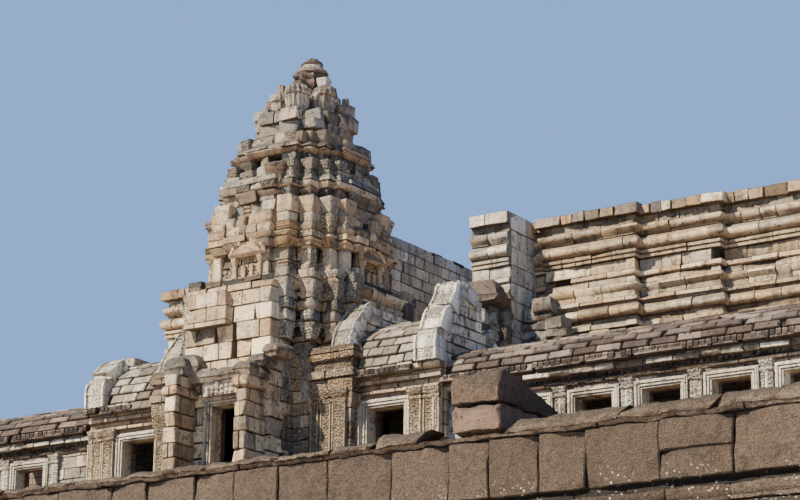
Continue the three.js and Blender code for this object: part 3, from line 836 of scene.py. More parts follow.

# %% [markdown]
# Each storey is a low wall with a bay on each face, a jutting cornice, and stacks on its corners
# that reach past the cornice. The lowest one has a false door in each bay. Time has pushed the
# stones in and out, so each one may stand several centimetres off the plan. The heart behind
# them is a closed mass painted dark, as shade that shows through the gaps.

# %% False doors
def false_door(pile, centre, along, width, height):
    """Two small pillars and a lintel under a ragged gable of leaves, over a blind door."""
    side = Vector((*along, 0)).normalized()
    dice = pile.dice

    def beside(s, up, forward=0.0):
        return (centre[0] + side.x * s + side.y * forward,
                centre[1] + side.y * s - side.x * forward, centre[2] + up)

    for sign in (-1, 1):
        stack_stone(pile, beside(sign * width * 0.42, 0), along,
                    [(0, 0.1, 0.1, 0), (0.12, 0.1, 0.1, 0), (0.14, 0.07, 0.07, 0),
                     (height - 0.2, 0.07, 0.07, 0), (height - 0.12, 0.11, 0.1, 0.02),
                     (height, 0.12, 0.12, 0.03)], rough=0.02, tone=0.8, hue=0.7)
        stack_stone(pile, beside(sign * width * 0.14, 0), along,
                    [(0, 0.07, 0.06, 0), (height * 0.5, 0.06, 0.06, 0), (height * 0.55, 0.09, 0.08, 0),
                     (height * 0.62, 0.06, 0.05, 0)], rough=0.02, tone=0.7, hue=0.9)
    stack_stone(pile, beside(0, height), along,
                [(0, width * 0.56, 0.12, 0), (0.1, width * 0.58, 0.15, 0.04),
                 (0.16, width * 0.48, 0.12, 0), (0.3, width * 0.4, 0.1, 0),
                 (0.46, width * 0.2, 0.08, 0)], rough=0.04, tone=0.5, hue=0.7)
    leaves = 13
    for i in range(leaves):
        a = math.pi * (i + 0.5) / leaves
        if dice.random() < 0.2:
            continue
        s, up = -math.cos(a) * width * 0.56, height + 0.06 + math.sin(a) * 0.52
        turn_stone(pile, beside(s, up, 0.06), [(0.04, -0.09), (0.085, -0.04), (0.08, 0.04), (0.02, 0.12)],
                   6, rough=0.012, tone=dice.uniform(0.6, 0.95), hue=0.75)


# %% Storeys
def loose_row(pile, x, y, level, tall, half, reach, tone):
    """Blocks that stand on a cornice, from the middle of one face outwards."""
    dice = pile.dice
    side = 0.0
    while side < 1.25:
        for sign in ((-1, 1) if side else (1,)):
            if dice.random() < 0.15:
                continue
            at = TOWER_HALF * reach - half * 0.8 + dice.uniform(-0.05, 0.05)
            spot = (x * at - y * side * sign, y * at + x * side * sign)
            carved_stone(pile, spot, dice.choice(["block", "flare", "block", "pot"]), level - 0.04,
                         level + tall * dice.uniform(0.75, 1.1), half * dice.uniform(0.85, 1.1),
                         (1, dice.uniform(-0.15, 0.15)), rough=0.03, tone=dice.gauss(tone, 0.2))
        side += half * 2.1


def storey(name, seed, scale, slot, profile, beds, stones, loose, vary, niche=0.0,
           long=(0.45, 0.85), carved=0.25, tone=0.5):
    """loose is (level, height, half width, scale) of the blocks that stand on the cornice."""
    bay = 0.95 * scale
    pile = Pile(seed)
    add_mass(pile, pushed(tower_plan(scale), -0.22), beds[0] - 0.05, beds[-1] - 0.03)
    lay_courses(pile, tower_plan(scale, bay, 0.17), profile, beds, back=0.42, long=long, vary=vary,
                rough=0.013, broken=0.65, chip=0.15, bevel=0.022, missing=0.05, proud=0.015,
                carved=carved, leafy=0.12, tone=tone, spread=0.24)
    corner_stacks(pile, scale, stones, stand=0.11, slip=0.04, tone=tone + 0.06)
    for x, y in ((1, 0), (-1, 0), (0, 1), (0, -1)):
        if niche:
            deep = TOWER_HALF * scale + 0.24
            false_door(pile, (x * deep, y * deep, beds[0] + 0.1), (-y, x), bay * 1.6, niche)
        loose_row(pile, x, y, *loose, tone)
    make_piece(pile, name + "_stones", slot, stands_for=[name])


storey("tower_storey_2", 31, 0.85, "tan_sandstone",
       [(0.07, 11.9), (0.07, 12.05), (0.0, 12.08), (0.0, 12.95), (0.1, 13.02), (0.2, 13.3),
        (0.22, 13.5), (0.12, 13.56), (0.16, 13.7), (0.1, 13.9)],
       [11.9, 12.07, 12.5, 12.98, 13.28, 13.54, 13.9],
       [(["capital"], 12.92, 13.42, 0.27), (["flare"], 13.42, 14.16, 0.27),
        (["flare", "block"], 14.18, 14.82, 0.33), (["block"], 12.08, 12.92, 0.2)],
       (13.9, 0.55, 0.27, 0.84), niche=0.72, vary=0.045)
storey("tower_storey_3", 32, 0.73, "weathered_sandstone",
       [(0.03, 13.9), (0.0, 14.4), (0.02, 14.9), (0.04, 15.05), (0.2, 15.3), (0.23, 15.5), (0.1, 15.75)],
       [13.9, 14.35, 14.82, 15.22, 15.48, 15.75],
       [(["block", "flare"], 14.82, 15.3, 0.27), (["flare", "block"], 15.32, 15.9, 0.3),
        (["flare", "block"], 15.9, 16.3, 0.25)],
       (15.75, 0.42, 0.3, 0.72), vary=0.085, long=(0.6, 1.1), carved=0.15, tone=0.34)
storey("tower_storey_4", 33, 0.61, "weathered_sandstone",
       [(0.0, 15.75), (0.03, 16.4), (0.06, 16.6), (0.2, 16.75), (0.2, 16.9), (0.06, 17.05)],
       [15.75, 16.15, 16.58, 16.82, 17.05],
       [(["block", "flare"], 16.3, 16.86, 0.28), (["flare", "block"], 16.88, 17.42, 0.26)],
       (17.05, 0.4, 0.28, 0.6), vary=0.09, long=(0.65, 1.15), carved=0.12, tone=0.26)

# %% Top storey
SLIPPED = {"rough": 0.025, "broken": 0.6, "chip": 0.14, "bevel": 0.035, "tone": 0.28}
TOP_PLAN = tower_plan(0.5)
pile = Pile(34)
add_mass(pile, pushed(TOP_PLAN, -0.4), 17.05, 18.5)
lay_courses(pile, TOP_PLAN, [(0, 17.1), (0, 18.2)], [17.1, 17.6], back=0.42, long=(0.5, 0.8),
            vary=0.07, **SLIPPED)
lay_courses(pile, TOP_PLAN, [(-0.1, 17.6), (-0.05, 18.02), (-0.05, 18.06), (-0.04, 18.3), (-0.08, 18.5)],
            [17.6, 18.05, 18.53], back=0.7, long=(0.7, 1.2), vary=0.06, missing=0.05, **SLIPPED)
for x, y, low, high, half, tone in (
        (-1.0, -0.78, 18.5, 18.82, 0.4, 0.5), (1.32, 0.72, 18.1, 18.62, 0.36, 0.5),
        (1.25, 0.8, 18.64, 19.1, 0.28, 0.6), (-0.7, 1.25, 18.5, 18.85, 0.35, 0.3),
        (1.2, -1.1, 17.7, 18.1, 0.3, 0.6), (-1.2, 1.0, 18.05, 18.5, 0.34, 0.4)):
    carved_stone(pile, (x, y), "block", low, high, half, (1, pile.dice.uniform(-0.3, 0.3)),
                 rough=0.035, tone=tone)
make_piece(pile, "tower_storey_5_stones", "weathered_sandstone", stands_for=["tower_storey_5"])

# %% [markdown]
# A few odd stones are known well from the photo: a rounded one that juts out on the left, and
# banded ones that widen upwards, one on the front and one on the left. They are placed one by
# one, and each rests against its storey.

# %% Odd stones
BANDS = [(0, 0.27), (0.1, 0.3), (0.12, 0.26), (0.22, 0.31), (0.24, 0.27), (0.34, 0.34), (0.36, 0.3),
         (0.46, 0.38), (0.49, 0.35), (0.62, 0.42), (0.68, 0.36)]
pile = Pile(36)
turn_stone(pile, (-2.28, -1.3, 15.62), [(0.12, 0), (0.27, 0.08), (0.33, 0.25), (0.31, 0.42),
                                        (0.18, 0.55), (0.05, 0.6)], 14, rough=0.025, tone=0.85, hue=0.1)
for centre, forward, tone, hue in (((0.7, -2.35, 15.46), 0.03, 0.2, 0.6),
                                   ((-2.35, -1.75, 13.95), 0.0, 0.75, 0.1)):
    stack_stone(pile, centre, (1, 0.1), [(z, w, w, forward) for z, w in BANDS], tone=tone, hue=hue)
make_piece(pile, "tower_odd_stones", "weathered_sandstone")

# %% [markdown]
# The crown is a lotus: a ring of fluted bud stones round a core, then a lumpy neck and flat
# rings that sit a little off its middle. A bud is a turned shape whose radius steps in and out
# round it, which makes sharp flutes from few faces. Two buds have the narrow foot of a drop, and
# one still has its rope of beads.

# %% Lotus crown
CROWN, NECK_FOOT = 18.5, 19.66
BUD = [(0.2, 0.0), (0.29, 0.05), (0.37, 0.2), (0.41, 0.42), (0.41, 0.6), (0.37, 0.63), (0.43, 0.66),
       (0.44, 0.74), (0.39, 0.77), (0.41, 0.8), (0.38, 0.9), (0.33, 0.94), (0.2, 1.0)]
DROP = [(0.05, -0.12), (0.16, 0.0), (0.28, 0.18), (0.36, 0.4), (0.38, 0.58), (0.34, 0.62), (0.4, 0.66),
        (0.4, 0.74), (0.36, 0.78), (0.37, 0.9), (0.22, 0.97)]
BUDS = [(-136, DROP, 0.95, 0.8), (-70, BUD, 1.0, 0.88), (-4, BUD, 1.06, 0.86), (48, BUD, 0.95, 0.84),
        (96, BUD, 1.02, 0.86), (145, DROP, 1.0, 0.84), (185, BUD, 0.97, 0.86)]
BEADS, ROPE_AT = 11, math.radians(-30)
pile = Pile(41)
turn_stone(pile, (0, 0, CROWN), [(1.1, -0.05), (1.12, 0.0), (1.0, 0.08), (0.62, 0.14), (0.6, 1.05),
                                 (0.5, 1.2)], 20, tone=0.2, rough=0.03)
for turn, shape, grown, reach in BUDS:
    a = math.radians(turn)
    turn_stone(pile, (reach * math.cos(a), reach * math.sin(a), CROWN + pile.dice.uniform(-0.04, 0.05)),
               [(radius * grown, z * grown * 1.1) for radius, z in shape], 30, flutes=15, depth=0.09,
               lean=(math.cos(a) * 0.1, math.sin(a) * 0.1), rough=0.012,
               tone=pile.dice.gauss(0.5, 0.14), hue=pile.dice.random() * 0.6, start=a)
for i in range(BEADS):
    a = math.radians(-85 + 17 * i)
    across, up = math.sin(a) * 0.4, math.cos(a) * 0.34
    spot = (0.78 - math.sin(ROPE_AT) * across + math.cos(ROPE_AT) * 0.36,
            -0.06 + math.cos(ROPE_AT) * across + math.sin(ROPE_AT) * 0.36, 19.08 + up)
    turn_stone(pile, spot, [(0.03, -0.09), (0.09, -0.04), (0.09, 0.04), (0.03, 0.09)], 7, rough=0.01,
               tone=0.8, hue=0.0)
make_piece(pile, "lotus_buds", "weathered_sandstone", stands_for=["lotus_crown"], sharp=40)

# %% Finial
NECK = [(0.42, 0), (0.58, 0.12), (0.6, 0.28), (0.5, 0.38), (0.58, 0.48), (0.56, 0.58), (0.4, 0.66)]
RINGS = [([(0.42, 0.62), (0.6, 0.66), (0.6, 0.74), (0.42, 0.84)], 0.6, 0.2),
         ([(0.36, 0.8), (0.43, 0.84), (0.4, 0.98), (0.34, 1.0)], 1.6, 0.0),
         ([(0.32, 0.98), (0.42, 1.02), (0.41, 1.08), (0.3, 1.11)], -0.1, 0.2),
         ([(0.2, 1.08), (0.24, 1.15), (0.2, 1.24), (0.06, 1.3)], 0.1, 1.0)]
pile = Pile(42)
turn_stone(pile, (0.14, 0.08, NECK_FOOT), NECK, 27, flutes=9, depth=0.13, rough=0.04, tone=0.1, hue=0.6)
for shape, tone, hue in RINGS:
    foot = shape[0][1]
    turn_stone(pile, (0.21, 0.14, NECK_FOOT + foot), [(r, z - foot) for r, z in shape], 20,
               flutes=5, depth=0.025, rough=0.022, tone=tone, hue=hue)
make_piece(pile, "crown_finial_stones", "roof_stone", stands_for=["crown_finial"], sharp=40)

pile = Pile(43)
for x, y, low, high, half, tone, hue in (
        (-0.6, -0.56, 19.52, 19.84, 0.14, 0.4, 1.0), (0.86, -0.02, 19.6, 20.0, 0.22, 0.85, 0.1),
        (0.72, 0.36, 19.5, 19.75, 0.2, 0.5, 0.3), (0.1, 0.9, 19.5, 19.8, 0.2, 0.4, 0.3),
        (-0.75, 0.6, 19.5, 19.8, 0.2, 0.4, 0.4), (-0.98, -0.78, 18.8, 19.2, 0.13, 0.2, 0.9),
        (1.3, 0.75, 19.05, 19.38, 0.12, 0.3, 0.3)):
    carved_stone(pile, (x, y), "flare" if half > 0.2 else "block", low, high, half, (1, 0.3),
                 tone=tone, hue=hue)
make_piece(pile, "crown_small_stones", "weathered_sandstone", stands_for=["crown_finial"], sharp=40)

# %% [markdown]
# Doors and windows have frames of clean stone with nested mouldings, mitred at the corners. One
# profile is drawn from the opening outwards and carried round it, and it reaches back into the
# wall as the reveal. A frame from plain bars would show four butt joints and no mouldings.

# %% Frames
REVEAL = 0.5
FRAME = [(-0.015, -REVEAL), (-0.015, 0.03), (0.05, 0.035), (0.055, 0.075), (0.11, 0.08), (0.13, 0.05),
         (0.15, 0.055), (0.155, 0.11), (0.21, 0.115), (0.225, 0.08), (0.255, 0.075), (0.26, -0.02)]
GROOVE = (0.031, 0.052)


def frame_moulding(pile, x0, x1, z0, z1, face, turn=-1, closed=False, scale=1.0, tone=0.6, hue=0.2):
    """A moulded frame round an opening in a wall that faces -Y (turn -1) or +Y (turn 1)."""
    points, marks = [], []
    for o, d in FRAME:
        # The groove of the moulding is marked dark, as painted shade.
        edge = 0.8 if GROOVE[0] < d < GROOVE[1] else 0.0
        o, d = o * scale, d * scale
        low = z0 - o if closed else z0
        for x, z in ((x0 - o, low), (x0 - o, z1 + o), (x1 + o, z1 + o), (x1 + o, low)):
            p = Vector((x, face + turn * d, z))
            points.append(p + noise.noise_vector(p * 3.3) * 0.008)
            marks.append((tone, hue, edge, 1.0))
    last = len(points) - 4
    pairs = [(i, (i + 1) % 4) for i in range(4 if closed else 3)]
    faces = [(a + i, a + j, a + j + 4, a + i + 4) for a in range(0, last, 4) for i, j in pairs]
    faces += [(i, last + i, last + j, j) for i, j in pairs]
    if not closed:
        end = tuple(range(0, len(points), 4))
        faces += [end[::-1], tuple(i + 3 for i in end)]
    pile.add(points, [face[::-1] for face in faces] if turn < 0 else faces, marks)


print("frame profile", len(FRAME), "points")

# %% [markdown]
# In front of the tower's face stands a plainer block, rebuilt with clean stones when the tower
# was mended. A slot is left open in it, and only the top of its left half juts out, over a small
# band. The back has the same block, laid more evenly and with no slot.

# %% Rebuilt blocks
DOOR_HALF, DOOR_HEAD, BLOCK_TOP = 0.55, 7.35, 11.5
BLOCK = [(-1.8, -2.9), (-1.8, -4.05), (1.8, -4.05), (1.8, -2.9)]
BLOCK_BEDS = [FLOOR, 5.6, 6.15, 6.75, DOOR_HEAD, 7.85, 8.38, 8.9, 9.5, 10.12, 10.7, 11.24, BLOCK_TOP]
DOORWAY = (1, 1.25, 2.35, 4.9, DOOR_HEAD)
SLOT = (1, 2.02, 2.22, 8.9, 10.12)


def block_heart(pile, y0, y1):
    """The mass behind the laid stones, with the doorway through it."""
    for x0, x1 in ((-1.6, -DOOR_HALF), (DOOR_HALF, 1.6)):
        add_mass(pile, rect(x0, x1, y0, y1), FLOOR, 7.36, 0.3)
    add_mass(pile, rect(-1.6, 1.6, y0, y1), DOOR_HEAD, 11.4, 0.3)


pile = Pile(51)
block_heart(pile, -3.85, -2.9)
lay_wall(pile, BLOCK, [(0, FLOOR), (0, BLOCK_TOP)], BLOCK_BEDS, back=0.45, long=(0.55, 1.0),
         holes=[DOORWAY, SLOT], vary=0.045, tone=0.85, spread=0.3, broken=0.6, chip=0.12, bevel=0.028)
lay_wall(pile, [(-1.5, -4.0), (-1.5, -4.3), (0.06, -4.3), (0.06, -4.0)],
         [(0.07, 10.05), (0.07, 10.2), (0, 10.24), (0, 11.3)], [10.05, 10.24, 10.74, 11.27],
         back=0.3, long=(0.6, 0.95), vary=0.02, tone=0.6)
make_piece(pile, "front_block_stones", "tan_sandstone", stands_for=["front_projection"])

pile = Pile(52)
block_heart(pile, 2.9, 3.85)
lay_wall(pile, [(-x, -y) for x, y in BLOCK], [(0, FLOOR), (0, BLOCK_TOP)], BLOCK_BEDS, back=0.45,
         long=(0.55, 0.95), holes=[DOORWAY], vary=0.03, tone=0.5)
frame_moulding(pile, -DOOR_HALF, DOOR_HALF, FLOOR, DOOR_HEAD, 4.07, turn=1)
make_piece(pile, "back_block_stones", "tan_sandstone", stands_for=["back_projection"])

# %% [markdown]
# The porch in front has lost its roof. Two wall ends stay, with broken cornice stones on them and
# a carved lintel between. The wall ends are laid as courses, and the broken stones are stacks.

# %% Porch
PORCH = [(0, FLOOR), (0, 7.6), (0.07, 7.64), (0.09, 7.8), (0.05, 7.95), (0, 8.0), (0, 8.4)]
BROKEN = [(0.0, 0.9), (0.35, 1.0), (0.38, 1.1), (0.62, 1.04), (0.9, 0.85), (1.0, 0.6)]
pile = Pile(53)
for x0, x1, beds in ((-1.7, -1.25, [FLOOR, 5.5, 6.0, 6.55, 7.05, 7.62, 7.95, 8.35]),
                     (1.25, 1.7, [FLOOR, 5.5, 6.1, 6.6, 7.1, 7.55, 8.0])):
    plan = rect(x0, x1, -5.15, -4.05)
    add_mass(pile, pushed(plan, -0.12), FLOOR, beds[-1] - 0.05)
    lay_courses(pile, plan, PORCH, beds, back=0.2, long=(0.5, 0.8), tone=0.6, broken=0.7, chip=0.1,
                bevel=0.035, vary=0.03)
make_piece(pile, "porch_wall_stones", "tan_sandstone",
           stands_for=["porch_wall_left", "porch_wall_right"])

pile = Pile(54)
for x, y, z, long, deep, tall in (
        (-1.5, -4.75, 8.35, 0.42, 0.3, 0.62), (-1.35, -4.3, 8.38, 0.5, 0.3, 0.75),
        (-0.7, -4.25, 8.1, 0.55, 0.26, 0.5), (0.35, -4.28, 8.1, 0.5, 0.28, 0.42),
        (1.45, -4.75, 8.0, 0.34, 0.36, 0.5), (1.6, -4.25, 8.35, 0.3, 0.42, 0.45),
        (1.95, -3.7, 8.75, 0.3, 0.5, 0.5), (1.5, -4.35, 8.0, 0.4, 0.3, 0.35)):
    stack_stone(pile, (x, y, z), (1, pile.dice.uniform(-0.12, 0.12)),
                [(t * tall, long * w, deep * w, 0) for t, w in BROKEN], rough=0.035, tone=0.3, bevel=0.05)
for i in range(6):
    for j in range(2):
        turn_stone(pile, (-0.5 + i * 0.2, -4.36, 7.66 + j * 0.17),
                   [(0.03, 0), (0.085, 0.03), (0.09, 0.09), (0.05, 0.15)], 8, tone=0.95, hue=0.5)
stack_stone(pile, (0, -4.25, 7.62), (1, 0), [(0, 0.75, 0.12, 0), (0.4, 0.78, 0.12, 0),
                                             (0.48, 0.7, 0.14, 0)], tone=0.85, hue=0.5)
make_piece(pile, "porch_cornice_stones", "weathered_sandstone", stands_for=["porch_lintel"])

pile = Pile(55)
frame_moulding(pile, -DOOR_HALF, DOOR_HALF, FLOOR, DOOR_HEAD, -4.08, tone=0.55, hue=0.5, scale=1.05)
make_piece(pile, "front_door_frame_stone", "pale_sandstone", stands_for=["front_door_frame"])

# %% [markdown]
# A gable here is a slab of stones across the end of a vault. Its field is laid in level courses,
# each as long as the outline is wide there. A carved border follows the curve, cut into stones
# as an arch is, and stands a little proud of the field. Both sides of the tower share one recipe,
# and the left one is flipped.

# %% Gables
SIDES = ((1, "right"), (-1, "left"))
STRIP = [(0.0, 0.0), (0.03, 0.05), (0.11, 0.06), (0.15, 0.0), (0.3, 0.03), (0.5, 0.04), (0.7, 0.03),
         (0.85, 0.0), (0.89, 0.06), (0.97, 0.05), (1.0, 0.0)]
GROOVES, LIFT = (0.15, 0.85), 0.02


def along_path(path, step):
    """Points and directions at even steps along a broken line."""
    spots = []
    pts = [Vector(p) for p in path]
    for a, b in zip(pts, pts[1:]):
        count = max(1, round((b - a).length / step))
        spots += [a + (b - a) * i / count for i in range(count)]
    spots.append(pts[-1])
    ways = [(spots[min(i + 1, len(spots) - 1)] - spots[max(i - 1, 0)]).normalized()
            for i in range(len(spots))]
    return spots, ways


def border(pile, path, x0, x1, stone, deep=0.42):
    """Stones along a (y, z) path; the path runs up from the front, so its left side is outside."""
    spots, ways = along_path(path, stone / 2)
    for i in range(0, len(spots) - 2 + len(spots) % 2, 2):
        tone, hue = pile.dice.gauss(1.12, 0.12), pile.dice.random() ** 2
        shift = pile.dice.uniform(-0.02, 0.03)
        carved = pile.dice.random() < 0.4
        ring = [(share, LIFT + shift + rise) for share, rise in STRIP] + [(1.0, -deep), (0.0, -deep)]
        trio = list(range(i, min(i + 3, len(spots))))
        points, marks = [], []
        for order, j in enumerate(trio):
            at, way = spots[j], ways[j]
            out = Vector((-way.y, way.x))
            squeeze = {0: 0.008, len(trio) - 1: -0.008}.get(order, 0.0)
            for share, rise in ring:
                yz = at + out * rise + way * squeeze
                p = Vector((x0 + (x1 - x0) * share, yz.x, yz.y))
                points.append(p + noise.noise_vector(p * 3.7) * 0.02)
                # The back of the border and its grooves are marked dark, as painted shade.
                edge = 0.7 if rise < 0.0 or share in GROOVES else 0.0
                leafy = carved and 0.14 < share < 0.86 and rise > 0
                marks.append((tone, hue, edge, 0.0 if leafy else 1.0))
        pile.add_rings(points, marks, len(ring))


def across(outline, z):
    """Where a (y, z) outline starts and ends at a level."""
    cuts = []
    for (y0, z0), (y1, z1) in zip(outline, outline[1:] + outline[:1]):
        if (z0 - z) * (z1 - z) < 0:
            cuts.append(y0 + (y1 - y0) * (z - z0) / (z1 - z0))
    return min(cuts), max(cuts)


def gable_courses(pile, outline, foot, drop, x0, x1):
    """Level courses inside an outline, kept narrower and lower above its foot, behind the border."""
    inside = [(y * 0.97, z - drop if z > foot else z) for y, z in outline]
    beds = even_beds(min(z for _, z in inside), max(z for _, z in inside), 0.36)
    for z0, z1 in zip(beds, beds[1:]):
        y0, y1 = across(inside, (z0 + z1) / 2)
        lay_courses(pile, rect(x0, x1, y0, y1), [(0, z0), (0, z1)], [z0, z1], back=0.36, vary=0.02,
                    long=(0.6, 1.0), broken=0.4, chip=0.08, bevel=0.025, tone=0.62, proud=0.01)
        if y1 - y0 > 0.9:
            add_mass(pile, rect(x0 + 0.2, x1 - 0.2, y0 + 0.3, y1 - 0.3), z0, z1)


def on_side(pile, sign):
    """The same stones on the other side of the tower, if the sign is -1."""
    if sign < 0:
        for p in pile.points:
            p.x = -p.x
        pile.faces = [face[::-1] for face in pile.faces]
    return pile


print("stones in a border of 3 m", len(along_path([(0, 0), (3, 0)], 0.25)[0]) // 2)

# %% Upper gables
UPPER_GABLE = [(-2.6, 9.2), (-2.6, 9.35), (-2.3, 9.95), (-2.0, 10.35), (-1.6, 10.4), (-1.5, 10.86),
               (-0.7, 10.75), (-0.6, 10.25), (0.5, 10.2), (0.6, 10.78), (1.5, 10.86), (1.6, 10.35),
               (2.0, 10.35), (2.3, 9.95), (2.6, 9.35), (2.6, 9.2)]
UPPER_CURVE = [(-2.62, 9.2), (-2.55, 9.5), (-2.3, 9.95), (-2.0, 10.35), (-1.65, 10.72), (-1.42, 10.84)]
for sign, side in SIDES:
    pile = Pile(60 + sign)
    gable_courses(pile, UPPER_GABLE, 9.3, 0.04, 3.36, 4.02)
    border(pile, UPPER_CURVE, 3.3, 4.1, stone=0.42)
    border(pile, [(-y, z) for y, z in UPPER_CURVE[::-1]], 3.3, 4.1, stone=0.5)
    for y, z, middle, top in ((-1.1, 10.3, 0.3, (0.5, 0.3, 0.26, 0.03)),
                              (1.05, 10.25, 0.35, (0.52, 0.3, 0.2, 0))):
        stack_stone(pile, (3.7, y, z), (0, 1), [(0, 0.42, 0.34, 0), (middle, 0.4, 0.34, 0), top])
    make_piece(on_side(pile, sign), "upper_gable_%s_stones" % side, "pale_sandstone",
               stands_for=["wing_%s_upper_gable" % side])

# %% End gables
END_GABLES = {
    "right": [(2.6, 8.3), (2.2, 8.9), (1.6, 9.3), (0.9, 9.5), (0.7, 9.8), (0.2, 9.9), (0.2, 10.85),
              (-0.7, 11.2), (-1.35, 11.15), (-1.4, 10.75), (-1.95, 10.2), (-2.2, 9.6), (-2.6, 9.35),
              (-2.6, 8.3)],
    "left": [(2.6, 8.3), (2.5, 9.1), (2.0, 9.7), (1.3, 10.15), (0.2, 10.5), (-0.6, 10.35), (-1.3, 10.3),
             (-1.9, 9.95), (-2.3, 9.6), (-2.6, 9.45), (-2.6, 8.3)],
}
END_CURVES = {
    "right": [[(-2.62, 8.3), (-2.62, 8.9), (-2.5, 9.35)], [(-2.3, 9.4), (-2.1, 9.95), (-1.9, 10.2)],
              [(-1.75, 10.3), (-1.45, 10.75), (-1.35, 11.12)],
              [(-1.3, 11.15), (-0.7, 11.2), (0.15, 10.9)],
              [(0.9, 9.5), (1.6, 9.3), (2.2, 8.9), (2.6, 8.35)]],
    "left": [[(-2.62, 8.3), (-2.62, 8.95), (-2.5, 9.42)], [(-2.3, 9.6), (-1.9, 9.95), (-1.3, 10.3)],
             [(1.3, 10.15), (2.0, 9.7), (2.45, 9.1), (2.6, 8.35)]],
}
for sign, side in SIDES:
    pile = Pile(63 + sign)
    gable_courses(pile, END_GABLES[side], 8.4, 0.05, 6.66, 7.44)
    for path in END_CURVES[side]:
        border(pile, path, 6.6, 7.5, stone=0.45, deep=0.5)
    make_piece(on_side(pile, sign), "end_gable_%s_stones" % side, "pale_sandstone",
               stands_for=["wing_%s_end_gable" % side])

# %% [markdown]
# Each wing joins the tower with a high pier, whose top flares like an old capital. Beyond it
# the wall is lower, and a real doorway opens in it. Both carry three bands of cornice.

# %% Wing walls
PILASTER = [(0, 1.2, 0.06), (0.09, 1.2, 0.06), (0.11, 1.0, 0.0), (0.13, 1.12, 0.03), (0.15, 1.0, 0.0),
            (0.83, 1.0, 0.0), (0.85, 1.15, 0.03), (0.88, 1.15, 0.03), (0.89, 1.0, 0.0),
            (0.92, 1.25, 0.05), (1, 1.35, 0.08)]


def pilaster(pile, x, y, wide, low, high, reach, tone=0.7):
    """A shaft carved with leaves between a base and a capital, with a thin rib on each side."""
    tall = high - low
    stack_stone(pile, (x, y, low), (1, 0), [(t * tall, wide * w, 0.1, reach + d) for t, w, d in PILASTER],
                tone=tone, hue=0.1, rough=0.012, bevel=0.02, plain=0.0)
    for sign in (-1, 1):
        stack_stone(pile, (x + sign * wide * 0.92, y, low), (1, 0),
                    [(t * tall, 0.025, 0.1, reach + 0.03) for t in (0.16, 0.5, 0.82)],
                    tone=tone + 0.1, hue=0.1, rough=0.006, bevel=0.008)


PIER = [(0.1, FLOOR), (0.1, 5.28), (0.04, 5.32), (0.0, 5.5), (0.0, 6.6), (0.05, 7.2), (0.12, 7.75),
        (0.13, 8.05), (0.2, 8.12), (0.2, 8.36), (0.07, 8.42), (0.07, 8.68), (0.2, 8.74), (0.22, 9.0),
        (0.12, 9.2)]
PIER_BEDS = [FLOOR, 5.3] + even_beds(5.5, 8.08, 0.5) + [8.39, 8.71, 8.95, 9.2]
WING = [(0.11, FLOOR), (0.11, 5.22), (0.05, 5.26), (0.0, 5.36), (0, 7.45), (0.07, 7.48), (0.07, 7.58),
        (0, 7.62), (0, 7.74), (0.13, 7.8), (0.13, 7.92), (0.06, 7.96), (0.06, 8.05), (0.2, 8.14),
        (0.2, 8.3)]
WING_BEDS = [FLOOR, 5.24, 5.36] + even_beds(5.36, 7.05, 0.42)[1:] + [7.45, 7.6, 7.77, 7.94, 8.06, 8.31]
PIER_IN, PIER_OUT, WING_END = 2.45, 4.1, 7.5
PIER_FACE, WING_FACE = 2.6, 2.2
DOOR_AT, WING_DOOR_HALF, MOULDING = 5.25, 0.75, 0.24
WING_HOLE = (0, DOOR_AT - WING_DOOR_HALF - MOULDING - PIER_OUT,
             DOOR_AT + WING_DOOR_HALF + MOULDING - PIER_OUT, 4.9, 7.3)
for sign, side in SIDES:
    pile = Pile(70 + sign)
    lay_wall(pile, [(PIER_IN, -PIER_FACE), (PIER_OUT, -PIER_FACE), (PIER_OUT, -WING_FACE)], PIER,
             PIER_BEDS, back=0.3, long=(0.8, 1.3), vary=0.015, broken=0.4, proud=0.05, tone=0.3,
             spread=0.1, leafy=0.75)
    lay_wall(pile, [(PIER_OUT, WING_FACE), (PIER_OUT, PIER_FACE), (PIER_IN, PIER_FACE)], PIER,
             PIER_BEDS, back=0.3, long=(0.5, 0.9), vary=0.02, broken=0.4)
    lay_wall(pile, [(PIER_OUT, -WING_FACE), (WING_END, -WING_FACE)], WING, WING_BEDS, back=0.3,
             long=(0.7, 1.2), holes=[WING_HOLE], vary=0.012, broken=0.3, proud=0.055, rough=0.008,
             tone=0.6, spread=0.12)
    lay_wall(pile, [(WING_END, WING_FACE), (PIER_OUT, WING_FACE)], WING, WING_BEDS, back=0.3,
             long=(0.55, 0.95), vary=0.016, broken=0.3)
    for y0, y1 in ((-WING_FACE, -1.85), (1.85, WING_FACE)):
        lay_wall(pile, [(WING_END, y0), (WING_END, y1)], [(0, FLOOR), (0, 8.3)], WING_BEDS, back=0.3,
                 vary=0.015)
    for x, wide, reach in ((6.5, 0.24, 0.06), (7.02, 0.2, 0.02), (7.33, 0.1, 0.05), (4.16, 0.14, 0.04)):
        pilaster(pile, x, -2.24, wide, FLOOR, 7.5, reach)
    for x, wide, reach in ((3.75, 0.26, 0.05), (3.2, 0.2, 0.03), (2.75, 0.14, 0.03)):
        pilaster(pile, x, -2.62, wide, FLOOR, 7.7, reach, 0.35)
    make_piece(on_side(pile, sign), "wing_%s_stones" % side, "tan_sandstone")
    pile = Pile(73 + sign)
    frame_moulding(pile, sign * DOOR_AT - WING_DOOR_HALF, sign * DOOR_AT + WING_DOOR_HALF, FLOOR, 7.05,
                   -2.22, tone=0.7, hue=0.35)
    make_piece(pile, "wing_%s_door_frame_stone" % side, "pale_sandstone",
               stands_for=["wing_%s_door_frame" % side])

# %% [markdown]
# The gallery is a long wall of equal bays. Each bay has a window with a moulded frame, and a
# narrow carved pillar stands between two windows. Its cornice is a set of thin bands, which the
# weather has blackened, and the courses are laid once along the whole wall.

